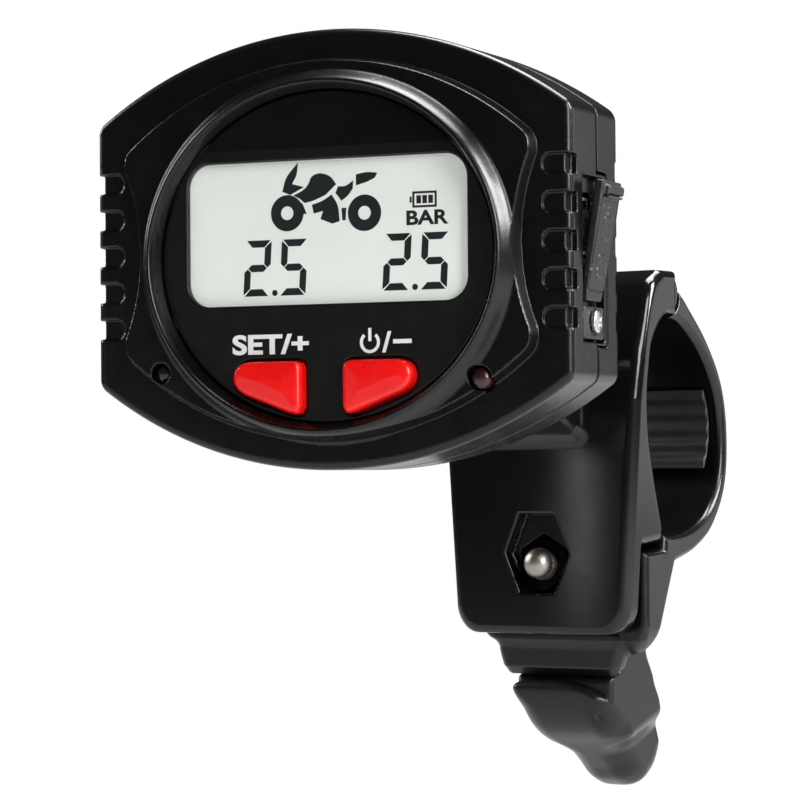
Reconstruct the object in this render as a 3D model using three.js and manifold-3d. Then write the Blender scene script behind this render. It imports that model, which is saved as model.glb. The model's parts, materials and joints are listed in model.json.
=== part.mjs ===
// Handlebar tyre-pressure monitor: a display head on a swivel arm and a quick-release handlebar clamp.
// Millimetres, +Z up, X along the handlebar, the head's face looking towards -Y.
// The origin is on the handlebar's axis, midway between the clamp's two end faces.
import * as THREE from 'three';
import { mergeVertices } from 'three/addons/utils/BufferGeometryUtils.js';
import Module from 'manifold-3d';

const wasm = await Module();
wasm.setup();

// ---------------------------------------------------------------- driving dimensions

const GAP = 0.3;                    // air left between two pieces that meet

// Handlebar clamp
const BAR_RADIUS = 11.1;            // 22.2 mm handlebar
const CLAMP_HALF_WIDTH = 16;
const PLATE_FRONT = -18;            // front face of the front jaw
const PLATE_BOTTOM = -32;
const EAR_BACK = -12.8;             // rear face of the front jaw's lower ear
const JAW_TOP = 24.4;
const REAR_EAR_BOTTOM = -35.2;
const REAR_EAR_FRONT = -12.2;
const EAR_BOSS_HALF_WIDTH = 9.2;    // the ear's middle runs on down to meet the lever
const JAW_HINGE = { y: -4.6, z: 20.9 };
const JAW_HINGE_PIN_RADIUS = 1.5;
const KNUCKLE_RADIUS = 3.4;
const KNUCKLE_HALF_WIDTH = 7;
const PAD_THICKNESS = 0.9;
const PAD_BACK = BAR_RADIUS + PAD_THICKNESS + 0.1;

// Tension bolt, which slopes down towards the cam lever
const BOLT_START = { y: -17, z: -20.7 };
const BOLT_SLOPE = THREE.MathUtils.degToRad(12);
const BOLT_RADIUS = 2.4;
const BOLT_TIP = -2.6;              // stations along the bolt, from BOLT_START
const NUT_SPAN = [1.2, 3.2];
const NUT_RADIUS = 4.3;
const SADDLE_FACE = 15.4;
const CAM_PIN_STATION = 20.3;
const CAM_PIN_RADIUS = 1.5;
const CAM_RADIUS = 3.6;
const CAM_THROW = 1.0;
const LEVER_HALF_WIDTH = 8.6;
const LEVER_TIP_HALF_WIDTH = 5.3;
const LEVER_LEAN = 19.1;            // degrees that the lever's front leans back
const POCKET = { z: -19.1, halfWidth: 5.7, halfHeight: 6.1, floor: -14.6 };

// Swivel between the clamp's arm and the head
const SWIVEL = { y: -52.5, z: 10.3 };
const SWIVEL_RADIUS = 6;
const EYE_HALF_HEIGHT = 4;
const SWIVEL_PIN_RADIUS = 2;
const HEAD_TURN = THREE.MathUtils.degToRad(10);

// Display head, in its own frame: origin at the middle of the case's front rim, +Y into the case
const HEAD_TO_SWIVEL = 28;
const HEAD_Z = 24.3;
const CASE_WIDTH = 72;
const CASE_HEIGHT = 60.8;
const CASE_ARC_RADIUS = 60;
const CASE_DEPTH = 18.8;
const PARTING = 9.7;                // where the front shell ends and the rear shell begins
const WALL = 2;
const PANEL_FRONT = -1.9;           // raised, waisted panel on the front shell
const PANEL = { cornerX: 32, cornerZ: 13.5, peak: 26.4, waist: 28.8 };
const FACE_X = 0.6;                 // the display and the buttons sit a little off the case's middle
const COLLAR = { z: -1.1, crestX: 26.4, crestZ: 24, crestY: -4.4 };
const FASCIA_FRONT = -2;
const FASCIA = { halfX: 25, halfZ: 22.7, thickness: 1.1 };
const WINDOW = { z: 2.3, width: 42.2, height: 19.8, radius: 2.8 };
const LCD = { width: 46, height: 23.6, front: -0.7, back: 1.9 };
const BUTTON = { inner: 3, outer: 13.6, top: -15.4, bottom: -22.6, front: -3.8 };
const LED = { x: 23.3, z: -18.2, radius: 1.5 };
const SENSOR = { x: -25, z: -16.7, radius: 1.3 };
const NOTCH = { count: 5, pitch: 5.15, height: 2.6, depth: 1, length: 2.4 };
const BOARD = { front: 5, back: 6.6 };
const USB = { y: 8.8, z: 2.5, width: 7.7, height: 3.9 };
const FLAP = { y0: 4.6, y1: 12, top: 8.6, bend: -7.8, sweep: 0.75, bottom: -13, thickness: 1.2, open: 0.19 };
const CASE_SCREWS = [[-28, 13], [28, 13], [-28, -13], [28, -13]];
const FOOT = { halfWidth: 12.2, z0: -25, z1: -3, thickness: 2.6 };

// ---------------------------------------------------------------- finishes

const BLACK_CASE = { color: 0x17181a, roughness: 0.48, metalness: 0 };
const BLACK_CLAMP = { color: 0x141517, roughness: 0.4, metalness: 0 };
const BLACK_LEVER = { color: 0x26282b, roughness: 0.5, metalness: 0 };
const FASCIA_BLACK = { color: 0x0c0d0f, roughness: 0.3, metalness: 0 };
const RUBBER = { color: 0x141414, roughness: 0.85, metalness: 0 };
const STEEL = { color: 0xb9bcc0, roughness: 0.3, metalness: 1 };
const NICKEL = { color: 0xc9c7c0, roughness: 0.25, metalness: 1 };
const RED_BUTTON = { color: 0xe01a14, roughness: 0.25, metalness: 0 };
const LCD_GREY = { color: 0xd2d6cf, roughness: 0.3, metalness: 0 };
const CLEAR = { color: 0xf2f5f4, roughness: 0.05, metalness: 0 };
const BOARD_GREEN = { color: 0x1b5a36, roughness: 0.5, metalness: 0 };
const WHITE_PLASTIC = { color: 0xd8d8d2, roughness: 0.6, metalness: 0 };
const CELL_SILVER = { color: 0xa9adb2, roughness: 0.4, metalness: 0.6 };
const LED_RED = { color: 0x5c1313, roughness: 0.3, metalness: 0 };
const SENSOR_SMOKE = { color: 0x202020, roughness: 0.2, metalness: 0 };

// ---------------------------------------------------------------- solids and booleans

function solid(geometry) {
  const bare = geometry.clone();
  bare.deleteAttribute('normal');
  bare.deleteAttribute('uv');
  const merged = mergeVertices(bare);
  const index = merged.index.array;
  const triangles = [];
  for (let i = 0; i < index.length; i += 3) {
    const [a, b, c] = [index[i], index[i + 1], index[i + 2]];
    if (a !== b && b !== c && c !== a) triangles.push(a, b, c);
  }
  const mesh = new wasm.Mesh({
    numProp: 3,
    vertProperties: new Float32Array(merged.attributes.position.array),
    triVerts: new Uint32Array(triangles),
  });
  return new wasm.Manifold(mesh);
}

function toGeometry(body) {
  const mesh = body.getMesh();
  const geometry = new THREE.BufferGeometry();
  geometry.setAttribute('position', new THREE.BufferAttribute(new Float32Array(mesh.vertProperties), 3));
  geometry.setIndex(new THREE.BufferAttribute(new Uint32Array(mesh.triVerts), 1));
  const faceted = geometry.toNonIndexed();
  faceted.computeVertexNormals();
  return faceted;
}

function join(first, ...rest) {
  return rest.reduce((body, other) => body.add(other), first);
}

function cut(first, ...tools) {
  return tools.reduce((body, tool) => body.subtract(tool), first);
}

// ---------------------------------------------------------------- primitives

const X = new THREE.Vector3(1, 0, 0);
const Y = new THREE.Vector3(0, 1, 0);
const Z = new THREE.Vector3(0, 0, 1);
const CURVE_STEPS = 10;

function extruded(shape, depth) {
  return new THREE.ExtrudeGeometry(shape, { depth, bevelEnabled: false, curveSegments: CURVE_STEPS });
}

// An outline drawn in Y and Z, as a slab from x0 to x1.
function slabX(shape, x0, x1) {
  const geometry = extruded(shape, x1 - x0);
  geometry.applyMatrix4(new THREE.Matrix4().makeBasis(Y, Z, X));
  return solid(geometry.translate(x0, 0, 0));
}

// An outline drawn in X and Z, as a slab from y0 to y1.
function slabY(shape, y0, y1) {
  const geometry = extruded(shape, y1 - y0);
  geometry.applyMatrix4(new THREE.Matrix4().makeBasis(X, Z, Y.clone().negate()));
  return solid(geometry.translate(0, y1, 0));
}

// An outline drawn in X and Y, as a slab from z0 to z1.
function slabZ(shape, z0, z1) {
  return solid(extruded(shape, z1 - z0).translate(0, 0, z0));
}

function box(x0, x1, y0, y1, z0, z1) {
  const geometry = new THREE.BoxGeometry(x1 - x0, y1 - y0, z1 - z0);
  return solid(geometry.translate((x0 + x1) / 2, (y0 + y1) / 2, (z0 + z1) / 2));
}

function rodX(radius, x0, x1, y, z, sides = 24) {
  const geometry = new THREE.CylinderGeometry(radius, radius, x1 - x0, sides);
  return solid(geometry.rotateZ(-Math.PI / 2).translate((x0 + x1) / 2, y, z));
}

function rodY(radius, y0, y1, x, z, sides = 24) {
  const geometry = new THREE.CylinderGeometry(radius, radius, y1 - y0, sides);
  return solid(geometry.translate(x, (y0 + y1) / 2, z));
}

function rodZ(radius, z0, z1, x, y, sides = 24) {
  const geometry = new THREE.CylinderGeometry(radius, radius, z1 - z0, sides);
  return solid(geometry.rotateX(Math.PI / 2).translate(x, y, (z0 + z1) / 2));
}

// A turned body about the Y axis: the profile is [radius, y] pairs, counter-clockwise.
function turned(profile, sides) {
  const points = profile.map(([radius, y]) => new THREE.Vector2(radius, y));
  return new THREE.LatheGeometry(points, sides);
}

// ---------------------------------------------------------------- outlines

function polygon(points) {
  return new THREE.Shape(points.map(([a, b]) => new THREE.Vector2(a, b)));
}

function roundedRectangle(width, height, radius, centreX = 0, centreZ = 0) {
  const right = centreX + width / 2 - radius;
  const left = centreX - width / 2 + radius;
  const top = centreZ + height / 2 - radius;
  const bottom = centreZ - height / 2 + radius;
  const shape = new THREE.Shape();
  shape.absarc(right, top, radius, 0, Math.PI / 2, false);
  shape.absarc(left, top, radius, Math.PI / 2, Math.PI, false);
  shape.absarc(left, bottom, radius, Math.PI, Math.PI * 1.5, false);
  shape.absarc(right, bottom, radius, Math.PI * 1.5, Math.PI * 2, false);
  return shape;
}

function ellipse(halfX, halfZ, centreX, centreZ) {
  const shape = new THREE.Shape();
  const steps = 64;
  for (let i = 0; i < steps; i += 1) {
    const angle = (2 * Math.PI * i) / steps;
    const x = centreX + halfX * Math.cos(angle);
    const z = centreZ + halfZ * Math.sin(angle);
    if (i === 0) shape.moveTo(x, z);
    else shape.lineTo(x, z);
  }
  return shape;
}

// Straight sides between two shallow arcs.
function caseOutline(inset) {
  const radius = CASE_ARC_RADIUS - inset;
  const centre = CASE_HEIGHT / 2 - CASE_ARC_RADIUS;
  const swing = Math.asin((CASE_WIDTH / 2 - inset) / radius);
  const shape = new THREE.Shape();
  shape.absarc(0, centre, radius, Math.PI / 2 - swing, Math.PI / 2 + swing, false);
  shape.absarc(0, -centre, radius, -Math.PI / 2 - swing, -Math.PI / 2 + swing, false);
  return shape;
}

// Arcs above and below, and sides that curve inwards to a waist.
function panelOutline() {
  const rise = PANEL.peak - PANEL.cornerZ;
  const arc = (PANEL.cornerX ** 2 + rise ** 2) / (2 * rise);
  const swing = Math.asin(PANEL.cornerX / arc);
  const pinch = PANEL.cornerX - PANEL.waist;
  const side = (PANEL.cornerZ ** 2 + pinch ** 2) / (2 * pinch);
  const turn = Math.asin(PANEL.cornerZ / side);
  const sideCentre = PANEL.waist + side;
  const shape = new THREE.Shape();
  shape.absarc(0, PANEL.peak - arc, arc, Math.PI / 2 - swing, Math.PI / 2 + swing, false);
  shape.absarc(-sideCentre, 0, side, turn, -turn, true);
  shape.absarc(0, arc - PANEL.peak, arc, -Math.PI / 2 - swing, -Math.PI / 2 + swing, false);
  shape.absarc(sideCentre, 0, side, Math.PI + turn, Math.PI - turn, true);
  return shape;
}

// Flat on top, upright on the inner side, its lower outer side following the collar.
function buttonOutline(side, clearance) {
  const inner = BUTTON.inner - clearance;
  const outer = BUTTON.outer + clearance;
  const top = BUTTON.top + clearance;
  const bottom = BUTTON.bottom - clearance;
  const corner = 1.2;
  const at = (distance) => FACE_X + side * distance;
  const shape = new THREE.Shape();
  shape.moveTo(at(inner), top - corner);
  shape.quadraticCurveTo(at(inner), top, at(inner + corner), top);
  shape.lineTo(at(outer - 2.8), top);
  shape.quadraticCurveTo(at(outer + 0.3), top - 0.2, at(outer - 0.4), top - 2.8);
  shape.quadraticCurveTo(at(outer - 2.4), bottom + 1.8, at(outer - 6.5), bottom + 0.3);
  shape.lineTo(at(inner + corner), bottom);
  shape.quadraticCurveTo(at(inner), bottom, at(inner), bottom + corner);
  return shape;
}

// ---------------------------------------------------------------- display head: shells

function notches() {
  const cutters = [];
  for (let i = 0; i < NOTCH.count; i += 1) {
    const z = (i - (NOTCH.count - 1) / 2) * NOTCH.pitch;
    for (const side of [-1, 1]) {
      const x0 = side * (CASE_WIDTH / 2 - NOTCH.depth);
      const x1 = side * (CASE_WIDTH / 2 + 1);
      for (const y of [0, CASE_DEPTH]) {
        cutters.push(box(Math.min(x0, x1), Math.max(x0, x1), y - NOTCH.length, y + NOTCH.length,
          z - NOTCH.height / 2, z + NOTCH.height / 2));
      }
    }
  }
  return join(...cutters);
}

function collar() {
  const { crestX: r, crestY: y } = COLLAR;
  const ring = turned([
    [r - 1.2, -0.5], [r + 2.8, -0.5], [r + 2.6, PANEL_FRONT], [r + 1.5, y + 1.3],
    [r + 0.6, y + 0.2], [r, y], [r - 0.5, y + 0.3], [r - 1.1, FASCIA_FRONT + 0.4], [r - 1.2, -0.5],
  ].reverse(), 64);
  ring.scale(1, 1, COLLAR.crestZ / COLLAR.crestX);
  return solid(ring.translate(FACE_X, 0, COLLAR.z));
}

// The block behind the flap, where the front shell reaches back past the parting line.
function usbReach(growth) {
  return box(CASE_WIDTH / 2 - WALL - growth, CASE_WIDTH / 2 + 1, PARTING - 1, FLAP.y1 + 1.2 + growth,
    FLAP.bottom - 0.8 - growth, FLAP.top + 1 + growth);
}

function usbCutters() {
  const wall = CASE_WIDTH / 2;
  return join(
    box(wall - 1.5, wall + 1, FLAP.y0 - 0.4, FLAP.y1 + 0.4, FLAP.bottom - 0.3, FLAP.top + 0.5),
    box(wall - 6, wall, USB.y - USB.height / 2 - 0.5, USB.y + USB.height / 2 + 0.5,
      USB.z - USB.width / 2 - 0.5, USB.z + USB.width / 2 + 0.5),
  );
}

function frontShell() {
  const wall = join(
    slabY(caseOutline(0), 0, PARTING),
    slabY(panelOutline(), PANEL_FRONT, 0.5),
    collar(),
    usbReach(0).intersect(slabY(caseOutline(0), 0, CASE_DEPTH)),
  );
  const posts = CASE_SCREWS.map(([x, z]) => rodY(3.2, 0.5, PARTING - 0.5, x, z, 16));
  const postBores = CASE_SCREWS.map(([x, z]) => rodY(1.3, 3, PARTING, x, z, 12));
  const hollow = slabY(caseOutline(WALL), 1.2, CASE_DEPTH);
  const recess = slabY(ellipse(FASCIA.halfX + GAP, FASCIA.halfZ + GAP, FACE_X, COLLAR.z), -8,
    FASCIA_FRONT + FASCIA.thickness + GAP);
  const lcdHole = slabY(roundedRectangle(LCD.width + 0.8, LCD.height + 0.8, 0.8, FACE_X, WINDOW.z),
    LCD.front - GAP, 2);
  const buttonHoles = [-1, 1].map((side) => slabY(buttonOutline(side, 0.35), -3, 2));
  const shell = cut(wall, hollow, recess, lcdHole, ...buttonHoles);
  return cut(
    join(shell, ...posts),
    ...postBores,
    notches(),
    usbCutters(),
    rodY(LED.radius + GAP, -3, 3, LED.x, LED.z, 16),
    rodY(SENSOR.radius + GAP, -3, 3, SENSOR.x, SENSOR.z, 16),
    rodX(0.75, CASE_WIDTH / 2 - 4, CASE_WIDTH / 2 + 1, 8.3, -10.6, 12),
  );
}

function rearShell() {
  const start = PARTING + GAP;
  const shell = cut(
    slabY(caseOutline(0), start, CASE_DEPTH),
    slabY(caseOutline(WALL), start - 1, CASE_DEPTH - WALL),
    usbReach(GAP),
  );
  const sleeves = CASE_SCREWS.map(([x, z]) => rodY(3, start + 0.6, CASE_DEPTH - 1, x, z, 16));
  const bores = CASE_SCREWS.map(([x, z]) => rodY(1.6, start - 1, CASE_DEPTH + 1, x, z, 12));
  const heads = CASE_SCREWS.map(([x, z]) => rodY(2.9, CASE_DEPTH - 2, CASE_DEPTH + 1, x, z, 16));
  const footHoles = footScrewPlaces().map(([x, z]) => rodY(1.1, CASE_DEPTH - 3, CASE_DEPTH + 1, x, z, 12));
  return cut(join(shell, ...sleeves), ...bores, ...heads, ...footHoles, notches());
}

function shellGasket() {
  const y0 = PARTING - 1.4;
  const y1 = PARTING + 1.4;
  const ring = cut(
    slabY(caseOutline(WALL + GAP), y0, y1),
    slabY(caseOutline(WALL + GAP + 0.8), y0 - 1, y1 + 1),
    usbReach(GAP),
    box(25, 40, 0, 20, FLAP.bottom - 2, FLAP.top + 2),
  );
  return ring;
}

// ---------------------------------------------------------------- display head: front

function fasciaPanel() {
  const panel = slabY(ellipse(FASCIA.halfX, FASCIA.halfZ, FACE_X, COLLAR.z), FASCIA_FRONT,
    FASCIA_FRONT + FASCIA.thickness);
  const window = slabY(
    roundedRectangle(WINDOW.width, WINDOW.height, WINDOW.radius, FACE_X, WINDOW.z), -4, 2);
  const holes = [-1, 1].map((side) => slabY(buttonOutline(side, 0.3), -4, 2));
  return cut(panel, window, ...holes);
}

function windowLens() {
  const outline = roundedRectangle(WINDOW.width - 2 * GAP, WINDOW.height - 2 * GAP,
    WINDOW.radius - GAP, FACE_X, WINDOW.z);
  return slabY(outline, FASCIA_FRONT + 0.1, LCD.front - GAP);
}

function lcdCell() {
  return slabY(roundedRectangle(LCD.width, LCD.height, 0.5, FACE_X, WINDOW.z), LCD.front, LCD.back);
}

function lcdHolder() {
  const y0 = LCD.back + GAP;
  const y1 = BOARD.front - GAP;
  return cut(
    box(-24.4, 24.4, y0, y1, WINDOW.z - 13.5, WINDOW.z + 13.5),
    box(-22.6, 22.6, y0 - 1, y1 + 1, WINDOW.z - 10.4, WINDOW.z + 10.4),
  );
}

function zebraStrip(side) {
  const z = WINDOW.z + side * 8.9;
  return box(-21.5, 21.5, LCD.back + GAP, BOARD.front - GAP, z - 1.1, z + 1.1);
}

function button(side) {
  const cap = slabY(buttonOutline(side, 0), BUTTON.front, 1.6);
  const flange = slabY(buttonOutline(side, 1), 1.5, 2.3);
  return join(cap, flange);
}

function tactSwitch(side) {
  const x = FACE_X + side * 8.2;
  const z = -19.2;
  return join(
    box(x - 3, x + 3, 3.6, BOARD.front - 0.05, z - 3, z + 3),
    rodY(1.6, 3, 4, x, z, 16),
  );
}

function domedPlug(x, z, radius, y0, y1) {
  const dome = turned([
    [0, y1], [0, y0], [radius * 0.5, y0 + 0.08], [radius * 0.87, y0 + 0.35], [radius, y0 + 0.8],
    [radius, y1], [0, y1],
  ], 16);
  return solid(dome.translate(x, 0, z));
}

// ---------------------------------------------------------------- display head: inside

function mainBoard() {
  const outline = caseOutline(3.2);
  const postHoles = CASE_SCREWS.map(([x, z]) => rodY(3.5, 4, 8, x, z, 16));
  const edge = box(30.5, 40, 4, 8, -30, 30);
  return cut(slabY(outline, BOARD.front, BOARD.back), ...postHoles, edge);
}

function usbSocket() {
  const back = 26.8;
  const mouth = 34.2;
  const { y, z } = USB;
  const shell = box(back, mouth, y - USB.height / 2, y + USB.height / 2, z - USB.width / 2, z + USB.width / 2);
  const inside = box(back + 1.2, mouth + 1, y - USB.height / 2 + 0.4, y + USB.height / 2 - 0.4,
    z - USB.width / 2 + 0.4, z + USB.width / 2 - 0.4);
  const tongue = box(back + 1, mouth - 1.6, y - 0.5, y + 0.5, z - 2.4, z + 2.4);
  return join(cut(shell, inside), tongue);
}

function batteryCell() {
  return slabY(roundedRectangle(34, 24, 2.5, -4, 2), 8.6, 13.4);
}

function radioShield() {
  return box(-23, -9, BOARD.back + 0.05, 8.3, -22, -13);
}

function buzzer() {
  const body = rodY(4.8, BOARD.back + 0.05, 10.2, 19, -17, 28);
  return cut(body, rodY(1, 9, 11, 19, -17, 12));
}

class Helix extends THREE.Curve {
  getPoint(t) {
    const turns = 7;
    const angle = t * turns * 2 * Math.PI;
    const radius = 1.7;
    return new THREE.Vector3(-6 + 18 * t, 11 + radius * Math.cos(angle), -18 + radius * Math.sin(angle));
  }
}

function antennaCoil() {
  const section = new THREE.Shape();
  section.absarc(0, 0, 0.35, 0, 2 * Math.PI, false);
  return solid(new THREE.ExtrudeGeometry(section, { steps: 56, extrudePath: new Helix(), curveSegments: 3 }));
}

// ---------------------------------------------------------------- fasteners

function screw(headRadius, headHeight, shankRadius, length) {
  const head = turned([
    [0, 0], [shankRadius, 0], [shankRadius, 0], [headRadius, 0], [headRadius, headHeight * 0.6],
    [headRadius * 0.8, headHeight * 0.9], [0, headHeight], [0, 0],
  ], 14);
  const shank = new THREE.CylinderGeometry(shankRadius, shankRadius, length + 0.2, 8);
  return join(solid(head), solid(shank.translate(0, 0.1 - length / 2, 0)));
}

function caseScrew([x, z]) {
  return screw(2.4, 1.4, 1.2, 10).translate([x, CASE_DEPTH - 1.7, z]);
}

// ---------------------------------------------------------------- USB cover

function flapAnchor() {
  const wall = CASE_WIDTH / 2;
  const tab = box(wall - 1.2, wall, FLAP.y0, FLAP.y1, FLAP.bottom, FLAP.bend - FLAP.sweep);
  return cut(tab, rodX(1.0, wall - 3, wall + 1, 8.3, -10.6, 12));
}

function flapScrew() {
  const body = screw(1.55, 0.8, 0.6, 3.2).rotate([0, 0, -90]);
  return body.translate([CASE_WIDTH / 2 + GAP, 8.3, -10.6]);
}

// The tongue is modelled shut and then swung out about the bend to where it rests.
function usbFlap() {
  const wall = CASE_WIDTH / 2;
  const tongue = join(
    box(wall - FLAP.thickness, wall, FLAP.y0, FLAP.y1, FLAP.bend, FLAP.top),
    box(wall - 0.7, wall + 0.9, FLAP.y0 + 1.6, FLAP.y1 - 1.6, FLAP.top - 2.2, FLAP.top - 0.6),
    box(wall - 2.9, wall - 1, USB.y - 1.2, USB.y + 1.2, USB.z - 3, USB.z + 3),
  );
  const degrees = THREE.MathUtils.radToDeg(FLAP.open);
  const atHinge = tongue.translate([-(wall - FLAP.thickness / 2), 0, -FLAP.bend]);
  return atHinge.rotate([0, degrees, 0]).translate([wall - FLAP.thickness / 2, 0, FLAP.bend]);
}

// ---------------------------------------------------------------- swivel foot, on the head's back

function footScrewPlaces() {
  return [[-9.7, -6.2], [9.7, -6.2], [-9.7, -21.8], [9.7, -21.8]];
}

function swivelLug(z0, z1) {
  const shape = new THREE.Shape();
  shape.moveTo(-7.2, CASE_DEPTH + GAP + 0.5);
  shape.lineTo(7.2, CASE_DEPTH + GAP + 0.5);
  shape.lineTo(SWIVEL_RADIUS, HEAD_TO_SWIVEL);
  shape.absarc(0, HEAD_TO_SWIVEL, SWIVEL_RADIUS, 0, Math.PI, false);
  return slabZ(shape, z0, z1);
}

function swivelFoot() {
  const middle = SWIVEL.z - HEAD_Z;
  const reach = EYE_HALF_HEIGHT + 1.4;
  const y0 = CASE_DEPTH + GAP;
  const width = 2 * FOOT.halfWidth;
  const plate = slabY(
    roundedRectangle(width, FOOT.z1 - FOOT.z0, 3, 0, (FOOT.z0 + FOOT.z1) / 2), y0, y0 + FOOT.thickness);
  const holes = footScrewPlaces().map(([x, z]) => rodY(1.4, y0 - 1, y0 + 4, x, z, 12));
  return cut(
    join(plate, swivelLug(middle + reach, middle + reach + 3), swivelLug(middle - reach - 3, middle - reach)),
    rodZ(SWIVEL_PIN_RADIUS + GAP, middle - 12, middle + 12, 0, HEAD_TO_SWIVEL, 20),
    ...holes,
  );
}

function footScrew([x, z]) {
  return screw(2.1, 1.2, 0.8, 4.6).translate([x, CASE_DEPTH + 2 * GAP + FOOT.thickness, z]);
}

function frictionWasher(side) {
  const middle = SWIVEL.z - HEAD_Z;
  const near = middle + side * (EYE_HALF_HEIGHT + GAP);
  const far = near + side * 0.8;
  const z0 = Math.min(near, far);
  const z1 = Math.max(near, far);
  return cut(
    rodZ(5.4, z0, z1, 0, HEAD_TO_SWIVEL, 28),
    rodZ(SWIVEL_PIN_RADIUS + GAP, z0 - 1, z1 + 1, 0, HEAD_TO_SWIVEL, 20),
  );
}

function swivelScrew() {
  const top = SWIVEL.z - HEAD_Z + EYE_HALF_HEIGHT + 1.4 + 3 + GAP;
  const shank = rodZ(SWIVEL_PIN_RADIUS, top - 22.5, top + 0.5, 0, HEAD_TO_SWIVEL, 20);
  const head = rodZ(3.8, top, top + 2.6, 0, HEAD_TO_SWIVEL, 24);
  const socket = rodZ(1.75, top + 1, top + 3, 0, HEAD_TO_SWIVEL, 6);
  return cut(join(shank, head), socket);
}

function swivelNut() {
  const bottom = SWIVEL.z - HEAD_Z - EYE_HALF_HEIGHT - 1.4 - 3 - GAP;
  return cut(
    rodZ(4.05, bottom - 3.2, bottom, 0, HEAD_TO_SWIVEL, 6),
    rodZ(SWIVEL_PIN_RADIUS + GAP, bottom - 5, bottom + 1, 0, HEAD_TO_SWIVEL, 20),
  );
}

// ---------------------------------------------------------------- clamp: jaws

// Front view of the front jaw: it narrows a little towards its foot.
function plateOutline() {
  const top = 18;
  const bottom = 15.6;
  const corner = 5;
  const shape = new THREE.Shape();
  shape.moveTo(top, 10);
  shape.lineTo(17.6, JAW_TOP - 2);
  shape.quadraticCurveTo(17.4, JAW_TOP + 1, 14, JAW_TOP + 1);
  shape.lineTo(-14, JAW_TOP + 1);
  shape.quadraticCurveTo(-17.4, JAW_TOP + 1, -17.6, JAW_TOP - 2);
  shape.lineTo(-top + 0.6, 5);
  shape.lineTo(-bottom, PLATE_BOTTOM + corner);
  shape.quadraticCurveTo(-bottom, PLATE_BOTTOM, -bottom + corner, PLATE_BOTTOM);
  shape.lineTo(bottom - corner, PLATE_BOTTOM);
  shape.quadraticCurveTo(bottom, PLATE_BOTTOM, bottom, PLATE_BOTTOM + corner);
  shape.lineTo(top - 0.6, 5);
  return shape;
}

// Side view of the front jaw, without its arm.
function frontJawProfile() {
  const shape = new THREE.Shape();
  shape.moveTo(PLATE_FRONT, PLATE_BOTTOM);
  shape.lineTo(EAR_BACK, PLATE_BOTTOM);
  shape.lineTo(EAR_BACK, -18.2);
  shape.lineTo(-7, -17.6);
  shape.lineTo(-6.5, -15.2);
  shape.splineThru([
    new THREE.Vector2(-9.8, -7.3), new THREE.Vector2(-12.3, 0), new THREE.Vector2(-13.3, 6.5),
    new THREE.Vector2(-12.2, 12.6), new THREE.Vector2(-8.4, 16.9), new THREE.Vector2(JAW_HINGE.y, 17.4),
  ]);
  shape.lineTo(JAW_HINGE.y, JAW_TOP - 0.1);
  shape.lineTo(-9.6, JAW_TOP - 0.1);
  shape.splineThru([
    new THREE.Vector2(-12.9, 22), new THREE.Vector2(-15.4, 16.8), new THREE.Vector2(-17.2, 11),
    new THREE.Vector2(PLATE_FRONT, 4.5),
  ]);
  return shape;
}

// Side view of the rear jaw: a hook round the bar, and an ear below it.
function rearJawProfile() {
  const shape = new THREE.Shape();
  shape.moveTo(JAW_HINGE.y + 0.2, JAW_TOP - 0.1);
  shape.lineTo(JAW_HINGE.y + 0.2, 17.4);
  shape.splineThru([
    new THREE.Vector2(0.6, 16), new THREE.Vector2(6.6, 11.8), new THREE.Vector2(11, 6),
    new THREE.Vector2(12.5, -0.5), new THREE.Vector2(11.9, -7.5), new THREE.Vector2(8.4, -12.8),
    new THREE.Vector2(3, -15.6), new THREE.Vector2(-2.7, -16.6), new THREE.Vector2(-6.1, -16.4),
  ]);
  shape.lineTo(-6.4, -18.7);
  shape.lineTo(REAR_EAR_FRONT, -19.1);
  shape.lineTo(REAR_EAR_FRONT, REAR_EAR_BOTTOM + 2.6);
  shape.lineTo(REAR_EAR_FRONT + 2.6, REAR_EAR_BOTTOM);
  shape.lineTo(-9, REAR_EAR_BOTTOM);
  shape.lineTo(-7.6, -31.9);
  shape.lineTo(-2.5, -20.7);
  shape.splineThru([
    new THREE.Vector2(4.2, -18.8), new THREE.Vector2(9.8, -15.4), new THREE.Vector2(14, -9),
    new THREE.Vector2(14.9, -0.5), new THREE.Vector2(13.1, 7.4), new THREE.Vector2(8.2, 14.2),
    new THREE.Vector2(1.4, 20.2),
  ]);
  return shape;
}

function rearJawOutline() {
  const half = CLAMP_HALF_WIDTH;
  const corner = 6.5;
  const shape = new THREE.Shape();
  shape.moveTo(half, JAW_TOP + 1);
  shape.lineTo(-half, JAW_TOP + 1);
  shape.lineTo(-half, REAR_EAR_BOTTOM + corner);
  shape.quadraticCurveTo(-half, REAR_EAR_BOTTOM, -half + corner, REAR_EAR_BOTTOM);
  shape.lineTo(half - corner, REAR_EAR_BOTTOM);
  shape.quadraticCurveTo(half, REAR_EAR_BOTTOM, half, REAR_EAR_BOTTOM + corner);
  return shape;
}

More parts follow.
